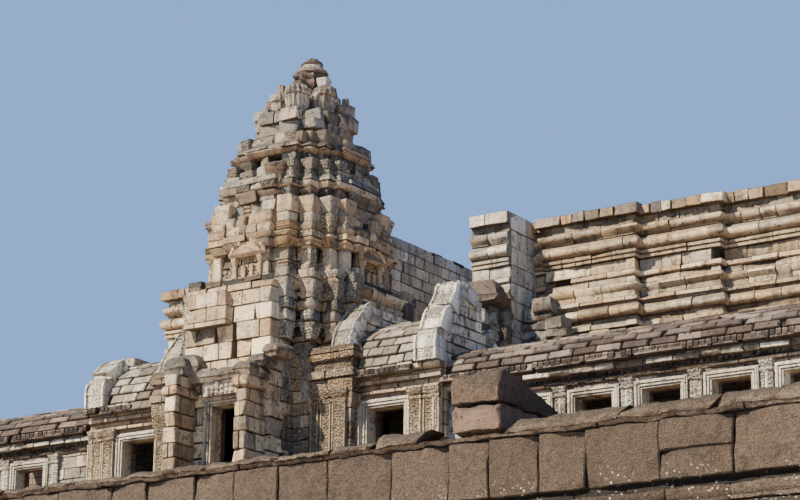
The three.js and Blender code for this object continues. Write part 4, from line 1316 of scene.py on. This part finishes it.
# %% Gallery walls
GALLERY = [(0.11, FLOOR), (0.11, 5.2), (0.05, 5.24), (0.0, 5.34), (0, 6.95), (0.06, 6.98), (0.06, 7.07),
           (0, 7.1), (0, 7.22), (0.13, 7.3), (0.14, 7.42), (0.06, 7.46), (0.06, 7.56), (0.19, 7.65),
           (0.19, 7.8)]
GALLERY_BEDS = [FLOOR, 5.22, 5.6, 6.0, 6.4, 6.83, 7.09, 7.26, 7.44, 7.58, 7.81]
BAY, FIRST, WINDOW, GALLERY_FACE = 2.37, 10.55, 1.35, 1.9
BAYS = {"right": 5, "left": 2}
BANDS_ABOVE = [([6.96, 7.09, 7.26], -0.35, 0.5, 0.0, 0.05), ([7.26, 7.56], 0.9, 0.0, 0.08, 0.17),
               ([7.56, 7.81], -0.2, 0.0, 0.0, 0.04)]
PILLAR = [(0, 0.25, 0.1, 0), (0.16, 0.25, 0.1, 0), (0.2, 0.2, 0.07, 0.02), (1.3, 0.2, 0.07, 0.02),
          (1.34, 0.24, 0.1, 0.02), (1.42, 0.24, 0.1, 0.02), (1.46, 0.2, 0.08, 0.02),
          (1.66, 0.27, 0.12, 0.04)]
RIB = [(0.22, 0.05, 0.07, 0.045), (1.28, 0.05, 0.07, 0.045)]
EVEN = {"back": 0.25, "long": (0.7, 1.2), "vary": 0.012, "broken": 0.3, "chip": 0.05, "bevel": 0.015}
for sign, side in SIDES:
    end = FIRST + (BAYS[side] - 0.5) * BAY
    middles = [FIRST + i * BAY for i in range(BAYS[side])]
    half = WINDOW / 2 + MOULDING
    holes = [(0, x - WING_END - half, x - WING_END + half, 5.1, 6.8) for x in middles]
    face = [(WING_END, -GALLERY_FACE), (end, -GALLERY_FACE)]
    pile = Pile(80 + sign)
    lay_wall(pile, face, GALLERY, GALLERY_BEDS[:6] + [6.96], tone=0.6, spread=0.14, holes=holes,
             proud=0.03, **EVEN)
    for beds, tone, leafy, missing, proud in BANDS_ABOVE:
        lay_wall(pile, face, GALLERY, beds, back=0.25, long=(0.6, 1.5), vary=0.035, broken=0.8,
                 chip=0.13, bevel=0.02, tone=tone, spread=0.15, leafy=leafy, missing=missing,
                 proud=proud)
    lay_wall(pile, [(x, -y) for x, y in face[::-1]], GALLERY, GALLERY_BEDS, **EVEN)
    for y0, y1 in ((-GALLERY_FACE, -1.27), (1.27, GALLERY_FACE)):
        lay_wall(pile, [(end, y0), (end, y1)], [(0, FLOOR), (0, 7.8)], GALLERY_BEDS, back=0.25,
                 long=(0.5, 0.8), vary=0.02)
    make_piece(on_side(pile, sign), "gallery_%s_wall_stones" % side, "weathered_sandstone")
    pile = Pile(83 + sign)
    for x in middles:
        frame_moulding(pile, sign * x - WINDOW / 2, sign * x + WINDOW / 2, 5.35, 6.58, -1.985,
                       closed=True, scale=0.92, tone=pile.dice.uniform(0.6, 0.8), hue=0.35)
    for x in [FIRST - BAY / 2] + [m + BAY / 2 for m in middles[:-1]] + [end - 0.3]:
        spot = (sign * x, -1.96, 5.3)
        stack_stone(pile, spot, (1, 0), PILLAR, rough=0.012, tone=0.75, hue=0.15, plain=0.0)
        stack_stone(pile, spot, (1, 0), RIB, rough=0.008, tone=0.85, hue=0.15)
    make_piece(pile, "gallery_%s_window_frames" % side, "pale_sandstone")

# %% [markdown]
# The upper terrace rises in two tiers. Each has the same moulded profile: two fat rounded bands
# with thin fillets between them, mirrored about a frieze. The front steps out towards the
# stair. The profile is written once for a height of one, and stretched to each tier.

# %% Upper terrace
TIER = [(0.3, 0), (0.3, 0.12), (0.18, 0.125), (0.18, 0.2), (0.08, 0.205), (0.08, 0.24), (0.14, 0.245),
        (0.14, 0.27), (0.04, 0.275), (0.04, 0.3), (0.17, 0.31), (0.25, 0.325), (0.27, 0.34),
        (0.25, 0.358), (0.17, 0.373), (0.05, 0.38), (0.05, 0.395), (0.16, 0.4), (0.16, 0.42),
        (0.02, 0.43), (0.0, 0.46), (0.14, 0.49), (0.14, 0.505), (0.04, 0.51), (0.0, 0.545),
        (0.08, 0.56), (0.08, 0.585), (0.0, 0.59), (0.0, 0.66), (0.1, 0.665), (0.1, 0.68), (0.04, 0.683),
        (0.13, 0.69), (0.13, 0.71), (0.03, 0.715), (0.18, 0.725), (0.26, 0.74), (0.28, 0.757),
        (0.26, 0.775), (0.18, 0.79), (0.03, 0.8), (0.03, 0.815), (0.12, 0.83), (0.2, 0.85),
        (0.2, 0.868), (0.05, 0.872), (0.03, 0.922), (0.26, 0.927), (0.26, 1)]
TIER_BEDS = [0, 0.122, 0.203, 0.24, 0.305, 0.378, 0.425, 0.508, 0.548, 0.588, 0.66, 0.713, 0.802, 0.87,
             0.925, 1]
COURT, LEDGE, TERRACE_TOP = 4.05, 10.55, 16.75
STAIR_HALF, SLOT_BACK, FRONT_STEP = 1.95, 15.5, 4.3


def tier_plan(w, front, back, step):
    """The outline of a tier, whose middle holds the slot of the stair in side 6."""
    half = [(FRONT_STEP, front + step), (FRONT_STEP, front), (8.1, front), (8.1, front + step),
            (11.4, front + step), (11.4, front + 2 * step), (w, front + 2 * step), (w, back)]
    return [(-x, y) for x, y in half[-2::-1]] + half + [(-w, back)]


def tier_course(z0, z1):
    return [(d, z0 + t * (z1 - z0)) for d, t in TIER], [z0 + t * (z1 - z0) for t in TIER_BEDS]


for name, seed, plan, z0, z1 in (
        ("upper_terrace_lower_tier", 91, tier_plan(15.0, 8.7, 16.3, 0.35), COURT, LEDGE),
        ("upper_terrace_upper_tier", 92, tier_plan(14.7, 9.8, 15.95, 0.4), LEDGE, TERRACE_TOP)):
    profile, beds = tier_course(z0, z1)
    pile = Pile(seed)
    middle = plan[6][1]
    cut = [(-STAIR_HALF, middle), (-STAIR_HALF, SLOT_BACK), (STAIR_HALF, SLOT_BACK), (STAIR_HALF, middle)]
    hole = (6, FRONT_STEP - STAIR_HALF, FRONT_STEP + STAIR_HALF, z0 - 1, z1 + 1)
    add_mass(pile, pushed(plan[:7] + cut + plan[7:], -0.2), z0, z1 - 0.04)
    lay_courses(pile, plan, profile, beds[:-1], back=0.32, long=(0.8, 1.6), vary=0.03, rough=0.012,
                broken=0.6, chip=0.08, missing=0.02, bevel=0.02, proud=0.02, spread=0.2, tone=0.78,
                holes=[hole])
    lay_courses(pile, plan, profile, beds[-2:], back=0.4, long=(0.35, 0.8), vary=0.05, rough=0.015,
                broken=0.8, chip=0.12, missing=0.02, bevel=0.03, proud=0.02, spread=0.3, tone=0.35,
                ragged=0.08, holes=[hole])
    make_piece(pile, name + "_stones", "tan_sandstone", stands_for=[name])

# %% [markdown]
# Two stepped walls flank the axial stair. They have the tiers' profile on a small plan, and
# the tops of both were rebuilt with pale stones.

# %% Stair flanks
FLANK_OUT = 3.35 + 0.29
FLANKS = [("lower", 95, 6.7, 9.1, 9.8, COURT, LEDGE, "weathered_sandstone"),
          ("upper", 97, 8.35, 10.25, 15.9, LEDGE, TERRACE_TOP, "pale_sandstone")]
DRESSED = {"broken": 0.4, "chip": 0.05}
for sign, side in SIDES[::-1]:
    for part, seed, y0, y1, inner, z0, z1, slot in FLANKS:
        profile, beds = tier_course(z0, z1)
        pile = Pile(seed + sign)
        add_mass(pile, rect(2.2, FLANK_OUT - 0.25, y0 + 0.25, y1), z0, z1 - 0.04)
        lay_wall(pile, [(STAIR_HALF, y0), (FLANK_OUT, y0)], profile, beds, back=0.5, long=(0.6, 0.9),
                 vary=0.02, rough=0.012, proud=0.03, bevel=0.02, tone=0.6, **DRESSED)
        lay_wall(pile, [(FLANK_OUT, y0), (FLANK_OUT, y1)], [(0, z0), (0, z1)], even_beds(z0, z1, 0.7),
                 back=0.3, long=(0.8, 1.2), vary=0.015, tone=0.6, spread=0.1, **DRESSED)
        lay_wall(pile, [(STAIR_HALF, inner), (STAIR_HALF, y0)], [(0, z0), (0, z1)],
                 even_beds(z0, z1, 0.45), back=0.3, long=(0.6, 1.0), vary=0.02, rough=0.012,
                 proud=0.05, **DRESSED)
        name = "stair_flank_%s_%s" % (side, part)
        make_piece(on_side(pile, sign), name + "_stones", slot, stands_for=[name])

# %% [markdown]
# Beside the stair the ledge between the tiers is heaped with stones that fell from above. Each
# heap is a column of blocks, and every block has its own height, turn and slip, so a loop over a
# few places is enough.

# %% Fallen stones on the ledge
HEAPS = [(2.3, 7.85, 12.9, 0.42), (3.05, 7.85, 12.9, 0.42), (3.55, 7.9, 12.5, 0.3),
         (2.9, 7.2, 12.6, 0.36), (3.4, 7.15, 11.6, 0.34), (3.95, 9.35, 12.9, 0.34),
         (4.55, 9.35, 13.2, 0.38), (5.15, 9.25, 12.4, 0.38), (5.75, 9.2, 11.6, 0.34)]
pile = Pile(99)
for x, y, top, half in HEAPS:
    z = LEDGE - 0.05
    while z < top:
        tall = pile.dice.uniform(0.3, 0.62)
        spot = (x + pile.dice.uniform(-0.08, 0.08), y + pile.dice.uniform(-0.08, 0.08))
        carved_stone(pile, spot, pile.dice.choice(["block", "flare", "pot"]), z, z + tall,
                     half * pile.dice.uniform(0.8, 1.1), (1, pile.dice.uniform(-0.3, 0.3)), rough=0.035,
                     tone=pile.dice.choice((0.0, 0.3, 0.8)))
        z += tall
make_piece(pile, "ledge_fallen_stones", "weathered_sandstone")
pile = Pile(100)
stack_stone(pile, (2.9, 7.5, 12.9), (1, 0.15),
            [(0, 0.55, 0.4, 0), (0.1, 0.75, 0.55, 0), (0.3, 0.95, 0.6, 0), (0.38, 0.97, 0.6, 0),
             (0.42, 0.86, 0.5, 0), (0.75, 0.7, 0.42, 0), (0.95, 0.5, 0.3, 0)], rough=0.06, tone=0.5)
stack_stone(pile, (4.4, 8.95, 11.3), (1, -0.1),
            [(0, 0.9, 0.3, 0), (0.22, 0.95, 0.34, 0), (0.3, 0.8, 0.3, 0)], rough=0.04, tone=0.2)
make_piece(pile, "ledge_fallen_slabs", "roof_stone")

# %% [markdown]
# The tower, the wings and the galleries stand on one moulded plinth, low behind the terrace
# coping. Its top is the floor of the porch and of the rooms.

# %% Plinth
PLINTH = [(0.15, COURT), (0.15, 4.25), (0.06, 4.28), (0.11, 4.36), (0.12, 4.46), (0.03, 4.52),
          (0.03, 4.64), (0.12, 4.7), (0.15, 4.76), (0.15, 4.96), (0.12, FLOOR)]
PLINTH_RIGHT, PLINTH_LEFT = FIRST + 4.5 * BAY, FIRST + 1.5 * BAY
TO_TOWER = [(7.65, 2.15), (7.65, 2.75), (3.6, 2.75), (3.6, 3.5), (2.1, 3.5)]
TO_GALLERY = [(x, -y) for x, y in TO_TOWER[::-1]]
plinth_plan = ([(2.1, -5.35)] + TO_GALLERY + [(PLINTH_RIGHT, -2.15), (PLINTH_RIGHT, 2.15)] + TO_TOWER
               + [(2.1, 4.25), (-2.1, 4.25)] + [(-x, y) for x, y in TO_TOWER[::-1]]
               + [(-PLINTH_LEFT, 2.15), (-PLINTH_LEFT, -2.15)] + [(-x, y) for x, y in TO_GALLERY[::-1]]
               + [(-2.1, -5.35)])
pile = Pile(101)
lay_courses(pile, plinth_plan, PLINTH, [COURT, 4.26, 4.5, 4.68, FLOOR], back=0.3, long=(0.8, 1.4),
            vary=0.015, broken=0.35, chip=0.05)
make_piece(pile, "plinth_stones", "weathered_sandstone")

# %% [markdown]
# Roofs, stairs and paving repeat one stone many hundred times by a rule, which is work for
# Geometry Nodes. A tree is a list of nodes with named inputs, so one tree can serve many roofs.
# These helpers name the steps that both trees take, and the last one runs a tree once and keeps
# its mesh.

# %% Node tree helpers
def new_tree(name, inputs):
    """A tree with its named inputs: the tree, its node maker, and the sockets of the inputs."""
    tree = bpy.data.node_groups.new(name, "GeometryNodeTree")
    tree.is_modifier = True
    tree.interface.new_socket("Geometry", in_out="OUTPUT", socket_type="NodeSocketGeometry")
    for label, kind in inputs:
        tree.interface.new_socket(label, in_out="INPUT", socket_type="NodeSocket" + kind)
    make = node_maker(tree)
    return tree, make, make("NodeGroupInput").outputs


def stored(make, mesh, name, value, kind="FLOAT", domain="POINT"):
    """The geometry with a value kept on it under a name."""
    return make("GeometryNodeStoreNamedAttribute", {"Geometry": mesh, "Name": name, "Value": value},
                data_type=kind, domain=domain).outputs[0]


def recalled(make, name, kind="FLOAT"):
    return make("GeometryNodeInputNamedAttribute", {0: name}, data_type=kind).outputs[0]


def joined(make, *numbers):
    """A vector of up to three numbers."""
    return make("ShaderNodeCombineXYZ", dict(enumerate(numbers))).outputs[0]


def scaled(make, vector, factor):
    return make("ShaderNodeVectorMath", {0: vector, "Scale": factor}, operation="SCALE").outputs[0]


def upward(make, vector):
    return make("ShaderNodeSeparateXYZ", {0: vector}).outputs[2]


def moved(make, mesh, offset):
    return make("GeometryNodeSetPosition", {"Geometry": mesh, "Offset": offset}).outputs[0]


def odd_points(make):
    """0 and 1 by turns."""
    return reckon(make, "MODULO", make("GeometryNodeInputIndex").outputs[0], 2.0)


def chance(make, low, high, seed, add):
    """A random number for each point or instance."""
    return make("FunctionNodeRandomValue", {2: low, 3: high, 8: reckon(make, "ADD", seed, add)},
                data_type="FLOAT").outputs[1]


def thinned(make, points, share, seed):
    """The points without a random share of them."""
    gone = make("FunctionNodeRandomValue", {6: share, 8: seed}, data_type="BOOLEAN").outputs[3]
    return make("GeometryNodeDeleteGeometry", {"Geometry": points, "Selection": gone},
                domain="POINT").outputs[0]


def small_stone(make):
    """A block one unit wide, with a worn chamfer round its top. Its sides are marked dark, as painted shade
    between stones.
    """
    cube = make("GeometryNodeMeshCube", {"Size": (1, 1, 0.72)}).outputs[0]
    up = upward(make, make("GeometryNodeInputNormal").outputs[0])
    top = make("FunctionNodeCompare", {0: up, 1: 0.5}, operation="GREATER_THAN").outputs[0]
    raised = make("GeometryNodeExtrudeMesh", {"Mesh": cube, "Selection": top, "Offset Scale": 0.28,
                                              "Individual": False}).outputs
    worn = make("GeometryNodeScaleElements", {"Geometry": raised[0], "Selection": raised[1],
                                              "Scale": 0.88}).outputs[0]
    height = upward(make, make("GeometryNodeInputPosition").outputs[0])
    side = make("FunctionNodeCompare", {0: height, 1: 0.5}, operation="LESS_THAN").outputs[0]
    return stored(make, worn, "edge", side)


def stones_on(make, given, points, turn, size):
    """A stone on each point, with its colour marks, a little wavering, and the material."""
    seed = given["Seed"]
    stones = make("GeometryNodeInstanceOnPoints", {"Points": points, "Instance": small_stone(make),
                                                   "Rotation": turn, "Scale": size}).outputs[0]
    rare = reckon(make, "POWER", chance(make, 0.0, 1.0, seed, 32), 3.0)
    for name, value in (("tone", chance(make, -0.15, 1.05, seed, 31)), ("hue", rare)):
        stones = stored(make, stones, name, value, domain="INSTANCE")
    real = make("GeometryNodeRealizeInstances", {0: stones}).outputs[0]
    tone, hue, edge = (recalled(make, name) for name in ("tone", "hue", "edge"))
    mark = make("FunctionNodeCombineColor", {0: tone, 1: hue, 2: edge, 3: 1.0}).outputs[0]
    real = stored(make, real, "stone", mark, "FLOAT_COLOR")
    waver = make("ShaderNodeTexNoise", {"Scale": 4.3, "Detail": 1.0}).outputs["Color"]
    shift = make("ShaderNodeVectorMath", {0: waver, 1: (-0.5, -0.5, -0.5)}).outputs[0]
    real = moved(make, real, scaled(make, shift, given["Wear"]))
    painted = make("GeometryNodeSetMaterial", {"Geometry": real, "Material": given["Material"]})
    make("NodeGroupOutput", {0: painted.outputs[0]})


def grow(name, tree, values, slot, outline=()):
    """Runs a tree once over an outline and keeps the plain mesh as a piece."""
    line = bpy.data.meshes.new(name + "_line")
    line.from_pydata(list(outline), [(i, i + 1) for i in range(len(outline) - 1)], [])
    source = placed(name + "_line", line)
    modifier = source.modifiers.new("grow", "NODES")
    modifier.node_group = tree
    values = dict(values, Material=STONES[slot])
    for item in tree.interface.items_tree:
        if item.in_out == "INPUT" and item.name in values:
            modifier[item.identifier] = values[item.name]
    view = bpy.context.evaluated_depsgraph_get()
    made = bpy.data.meshes.new_from_object(source.evaluated_get(view))
    bpy.data.objects.remove(source)
    made.name = name
    made.transform(Matrix.Translation(AXIS))
    finished_piece(name, made, stands_for=())


# %% [markdown]
# A corbelled roof is courses of stones that follow the curve of the vault. The tree takes the
# curve as its outline, sets points along it a row apart, repeats those points along the ridge,
# moves every second row by half a stone, and turns each stone to face out of the curve. Each
# stone tips a little, so its lower edge stands proud of the row below.

# %% Roof tree
def roof_tree():
    tree, make, given = new_tree("vault_courses", [
        ("Outline", "Geometry"), ("Row height", "Float"), ("Stone length", "Float"),
        ("Start", "Float"), ("Stones", "Int"), ("Thickness", "Float"), ("Lap", "Float"),
        ("Missing", "Float"), ("Wear", "Float"), ("Seed", "Int"), ("Material", "Material")])
    seed, length, height = given["Seed"], given["Stone length"], given["Row height"]
    curve = make("GeometryNodeMeshToCurve", {0: given["Outline"]}).outputs[0]
    along = make("GeometryNodeCurveToPoints", {"Curve": curve, "Length": height}, mode="LENGTH").outputs
    rank = stored(make, along["Points"], "way", along["Tangent"], "FLOAT_VECTOR")
    rank = stored(make, rank, "odd", odd_points(make))
    start = reckon(make, "ADD", reckon(make, "MULTIPLY", length, 0.5), given["Start"])
    line = make("GeometryNodeMeshLine", {"Count": given["Stones"], "Start Location": joined(make, start),
                                         "Offset": joined(make, length)}).outputs[0]
    grid = make("GeometryNodeInstanceOnPoints", {"Points": line, "Instance": rank}).outputs[0]
    grid = make("GeometryNodeRealizeInstances", {0: grid}).outputs[0]
    shift = reckon(make, "SUBTRACT", reckon(make, "MULTIPLY", recalled(make, "odd"), 0.5), 0.25)
    shift = reckon(make, "ADD", shift, chance(make, -0.09, 0.09, seed, 1))
    grid = moved(make, grid, joined(make, reckon(make, "MULTIPLY", shift, length)))
    grid = thinned(make, grid, given["Missing"], seed)
    way = recalled(make, "way", "FLOAT_VECTOR")
    out = make("ShaderNodeVectorMath", {0: (1, 0, 0), 1: way}, operation="CROSS_PRODUCT").outputs[0]
    turn = make("FunctionNodeAxesToRotation", {0: out, 1: (1, 0, 0)}, primary_axis="Z",
                secondary_axis="X").outputs[0]
    lap = reckon(make, "MULTIPLY", reckon(make, "SIGN", upward(make, way)), given["Lap"])
    tip = joined(make, reckon(make, "SUBTRACT", chance(make, -0.04, 0.04, seed, 3), lap),
                 chance(make, -0.02, 0.02, seed, 4), chance(make, -0.02, 0.02, seed, 5))
    tip = make("FunctionNodeEulerToRotation", {0: tip}).outputs[0]
    turn = make("FunctionNodeRotateRotation", {0: turn, 1: tip}, rotation_space="LOCAL").outputs[0]
    size = joined(make, reckon(make, "MULTIPLY", length, chance(make, 0.93, 0.99, seed, 6)),
                  reckon(make, "MULTIPLY", height, chance(make, 0.93, 0.99, seed, 7)),
                  reckon(make, "MULTIPLY", given["Thickness"], chance(make, 0.8, 1.3, seed, 8)))
    stones_on(make, given, grid, turn, size)
    return tree


VAULTS = roof_tree()
print("nodes in the roof tree", len(VAULTS.nodes))

# %% Roofs
GALLERY_ROOF = {"Row height": 0.28, "Stone length": 0.9, "Thickness": 0.17, "Lap": 0.12,
                "Missing": 0.03, "Wear": 0.025}
WING_ROOF = {"Row height": 0.36, "Stone length": 0.61, "Thickness": 0.13, "Lap": 0.1,
             "Missing": 0.02, "Wear": 0.03}
GALLERY_RANKS = {"right": 15, "left": 7}


def vault(half, ridge, eave, skirt):
    """A vault's outline: its half span, the levels of ridge and eave, and its lowest edge."""
    rise = ridge - eave
    side = [skirt, (half, eave), (half * 0.93, eave + rise * 0.3), (half * 0.78, eave + rise * 0.58),
            (half * 0.5, eave + rise * 0.84), (half * 0.2, ridge)]
    return [(0, -y, z) for y, z in side] + [(0, y, z) for y, z in side[::-1]]


def roof(name, sign, slot, values, edge, ranks, seed, outline):
    """A roof of so many ranks of stones, from an edge on and away from the tower."""
    start = edge if sign > 0 else -edge - ranks * values["Stone length"]
    grow(name, VAULTS, dict(values, Start=start, Stones=ranks, Seed=seed + sign), slot, outline)


for sign, side in SIDES:
    roof("gallery_%s_roof_stones" % side, sign, "roof_stone", GALLERY_ROOF, 7.56, GALLERY_RANKS[side],
         5, vault(2.12, 8.84, 7.9, (2.2, 7.63)))
    roof("wing_%s_roof_stones" % side, sign, "pale_sandstone", WING_ROOF, 4.14, 4, 15,
         vault(2.4, 10.2, 8.44, (2.52, 8.16)))

# %% [markdown]
# A second tree sets stones in rows and ranks: one row of tile ends along an eave, the treads of
# the stair, or the paving of the court. Its two steps are vectors, so a rank may climb.

# %% Rows tree
def rows_tree():
    tree, make, given = new_tree("stone_rows", [
        ("Corner", "Vector"), ("Count", "Int"), ("Step", "Vector"), ("Ranks", "Int"),
        ("Rank step", "Vector"), ("Size", "Vector"), ("Stagger", "Float"), ("Uneven", "Float"),
        ("Missing", "Float"), ("Wear", "Float"), ("Seed", "Int"), ("Material", "Material")])
    seed = given["Seed"]
    row = make("GeometryNodeMeshLine", {"Count": given["Count"], "Start Location": given["Corner"],
                                        "Offset": given["Step"]}).outputs[0]
    ranks = make("GeometryNodeMeshLine", {"Count": given["Ranks"], "Offset": given["Rank step"]})
    ranks = stored(make, ranks.outputs[0], "odd", odd_points(make))
    grid = make("GeometryNodeInstanceOnPoints", {"Points": ranks, "Instance": row}).outputs[0]
    slide = scaled(make, given["Step"], reckon(make, "MULTIPLY", recalled(make, "odd"), given["Stagger"]))
    grid = make("GeometryNodeTranslateInstances", {"Instances": grid, "Translation": slide}).outputs[0]
    grid = make("GeometryNodeRealizeInstances", {0: grid}).outputs[0]
    grid = thinned(make, grid, given["Missing"], seed)
    off = joined(make, *(chance(make, -1.0, 1.0, seed, add) for add in (1, 2, 3)))
    grid = moved(make, grid, scaled(make, off, given["Uneven"]))
    turn = joined(make, *(chance(make, -0.03, 0.03, seed, add) for add in (4, 5, 6)))
    size = scaled(make, given["Size"], chance(make, 0.94, 1.0, seed, 8))
    stones_on(make, given, grid, turn, size)
    return tree


ROWS = rows_tree()
print("nodes in the rows tree", len(ROWS.nodes))


def rows(name, slot, corner, count, step, size, ranks=1, rank_step=(0, 0, 0), stagger=0.5, uneven=0.01,
         missing=0.0, wear=0.03, seed=1):
    """Rows of stones along x from a corner, one row for each rank."""
    grow(name, ROWS, {"Corner": corner, "Count": count, "Step": (step, 0, 0), "Ranks": ranks,
                      "Rank step": rank_step, "Size": size, "Stagger": stagger, "Uneven": uneven,
                      "Missing": missing, "Wear": wear, "Seed": seed}, slot)


# %% Stair treads
STEPS = 38
RUN, RISE = 9.6 / STEPS, 12.7 / STEPS
rows("stair_treads", "weathered_sandstone", (-1.63, 5.9 + RUN / 2, COURT + RISE / 2 + 0.01), 6, 0.65,
     (0.64, RUN * 1.16, RISE * 1.03), ranks=STEPS, rank_step=(0, RUN, RISE), stagger=0.0, uneven=0.012,
     missing=0.02, seed=3)

# %% Court paving
rows("court_paving", "terrace_stone", (-14.8, -7.85, 4.0), 39, 0.97, (0.95, 0.6, 0.14), ranks=41,
     rank_step=(0, 0.62, 0), uneven=0.012, stagger=0.4, seed=4)
for side, x, seed in (("left", -14.1, 5), ("right", 2.5, 6)):
    rows("upper_terrace_top_" + side, "weathered_sandstone", (x, 10.95, 16.71), 11, 1.13,
         (1.1, 0.8, 0.16), ranks=6, rank_step=(0, 0.82, 0), uneven=0.02, stagger=0.35, seed=seed)

# %% Eave rows
EAVES = {"right": (7.65, 64, 4.2), "left": (-14.0, 31, -7.4)}
ENDS = {"uneven": 0.012, "missing": 0.08}
FACES = ((-1, "front"), (1, "back"))
for sign, side in SIDES:
    start, count, wing_start = EAVES[side]
    for out, face in FACES:
        rows("eave_ends_%s_%s" % (side, face), "roof_stone", (start, out * 2.25, 7.66), count, 0.21,
             (0.17, 0.2, 0.18), seed=20 + sign, **ENDS)
        rows("cornice_petals_%s_%s" % (side, face), "roof_stone", (start, out * 2.0, 7.18), count,
             0.21, (0.13, 0.06, 0.09), missing=0.15, wear=0.02, seed=24 + sign)
    for out, face in FACES:
        rows("wing_eave_ends_%s_%s" % (side, face), "roof_stone", (wing_start, out * 2.6, 8.14), 12,
             0.2, (0.17, 0.2, 0.17), seed=28 + sign, **ENDS)

# %% [markdown]
# A fallen block from the roof stands on the coping, cracked across its middle. Its side is a
# slanting outline carried through its width, with enough cells to waver and to break its edges.

# %% Fallen block
CELL, WORN_END, END_SIZE = 0.18, 0.05, 0.95
HALVES = [
    ("upper", 111, "terrace_stone", 12.12, 13.78, 0.045, 0.55,
     [(-8.99, 5.02), (-7.4, 4.93), (-5.42, 4.93), (-5.45, 5.15), (-6.3, 5.38), (-7.2, 5.62),
      (-7.85, 5.86), (-8.6, 5.92), (-8.9, 5.8), (-9.02, 5.4)]),
    ("lower", 112, "roof_stone", 12.16, 13.76, 0.04, 0.25,
     [(-8.95, 4.2), (-8.2, 4.06), (-5.62, 4.06), (-5.3, 4.6), (-5.42, 4.9), (-7.4, 4.9),
      (-8.88, 4.9), (-9.04, 4.75)]),
]


def carved_bar(pile, outline, x0, x1, rough, tone, hue=1.0):
    """A closed stone whose (y, z) outline runs from x0 to x1."""
    ring = []
    for a, b in zip(outline, outline[1:] + outline[:1]):
        a, b = Vector(a), Vector(b)
        count = max(1, round((b - a).length / CELL))
        ring += [a + (b - a) * t / count for t in range(count)]
    middle = sum(ring, Vector((0, 0))) / len(ring)
    count = max(2, round((x1 - x0) / CELL))
    slices = [(x0, END_SIZE), (x0 + WORN_END, 1.0)]
    slices += [(x0 + WORN_END + (x1 - x0 - 2 * WORN_END) * i / count, 1.0) for i in range(1, count)]
    slices += [(x1 - WORN_END, 1.0), (x1, END_SIZE)]
    points, marks = [], []
    for x, share in slices:
        for at in ring:
            yz = middle + (at - middle) * share
            points.append(wavered(Vector((x, yz.x, yz.y)), rough, 1.7, 6.3))
            marks.append((tone, hue, 0.3 if share < 1 else 0.0, 1.0))
    pile.add_rings(points, marks, len(ring))


for half, seed, slot, x0, x1, rough, tone, outline in HALVES:
    pile = Pile(seed)
    carved_bar(pile, outline, x0, x1, rough, tone)
    make_piece(pile, "fallen_block_" + half, slot, stands_for=["loose_block"], sharp=45)

# %% [markdown]
# No piece stands for the tower's body and cornice, the walls and roofs of the wings and the
# galleries, the plinth, the court and the stair. Their solids stay behind the laid stones, as
# the inner faces of rooms and what shows in open joints. The walls and wing units get a tan
# coursed stone, and the rest a nearly black one that is painted shade, so a gap between two
# laid blocks reads as shade.

# %% Solids that stay
for name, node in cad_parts.items():
    node.data.materials.clear()
    node.data.materials.append(CORES["tan_core" if "wall" in name or "unit" in name else "dark_core"])
print("solids painted", len(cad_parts))
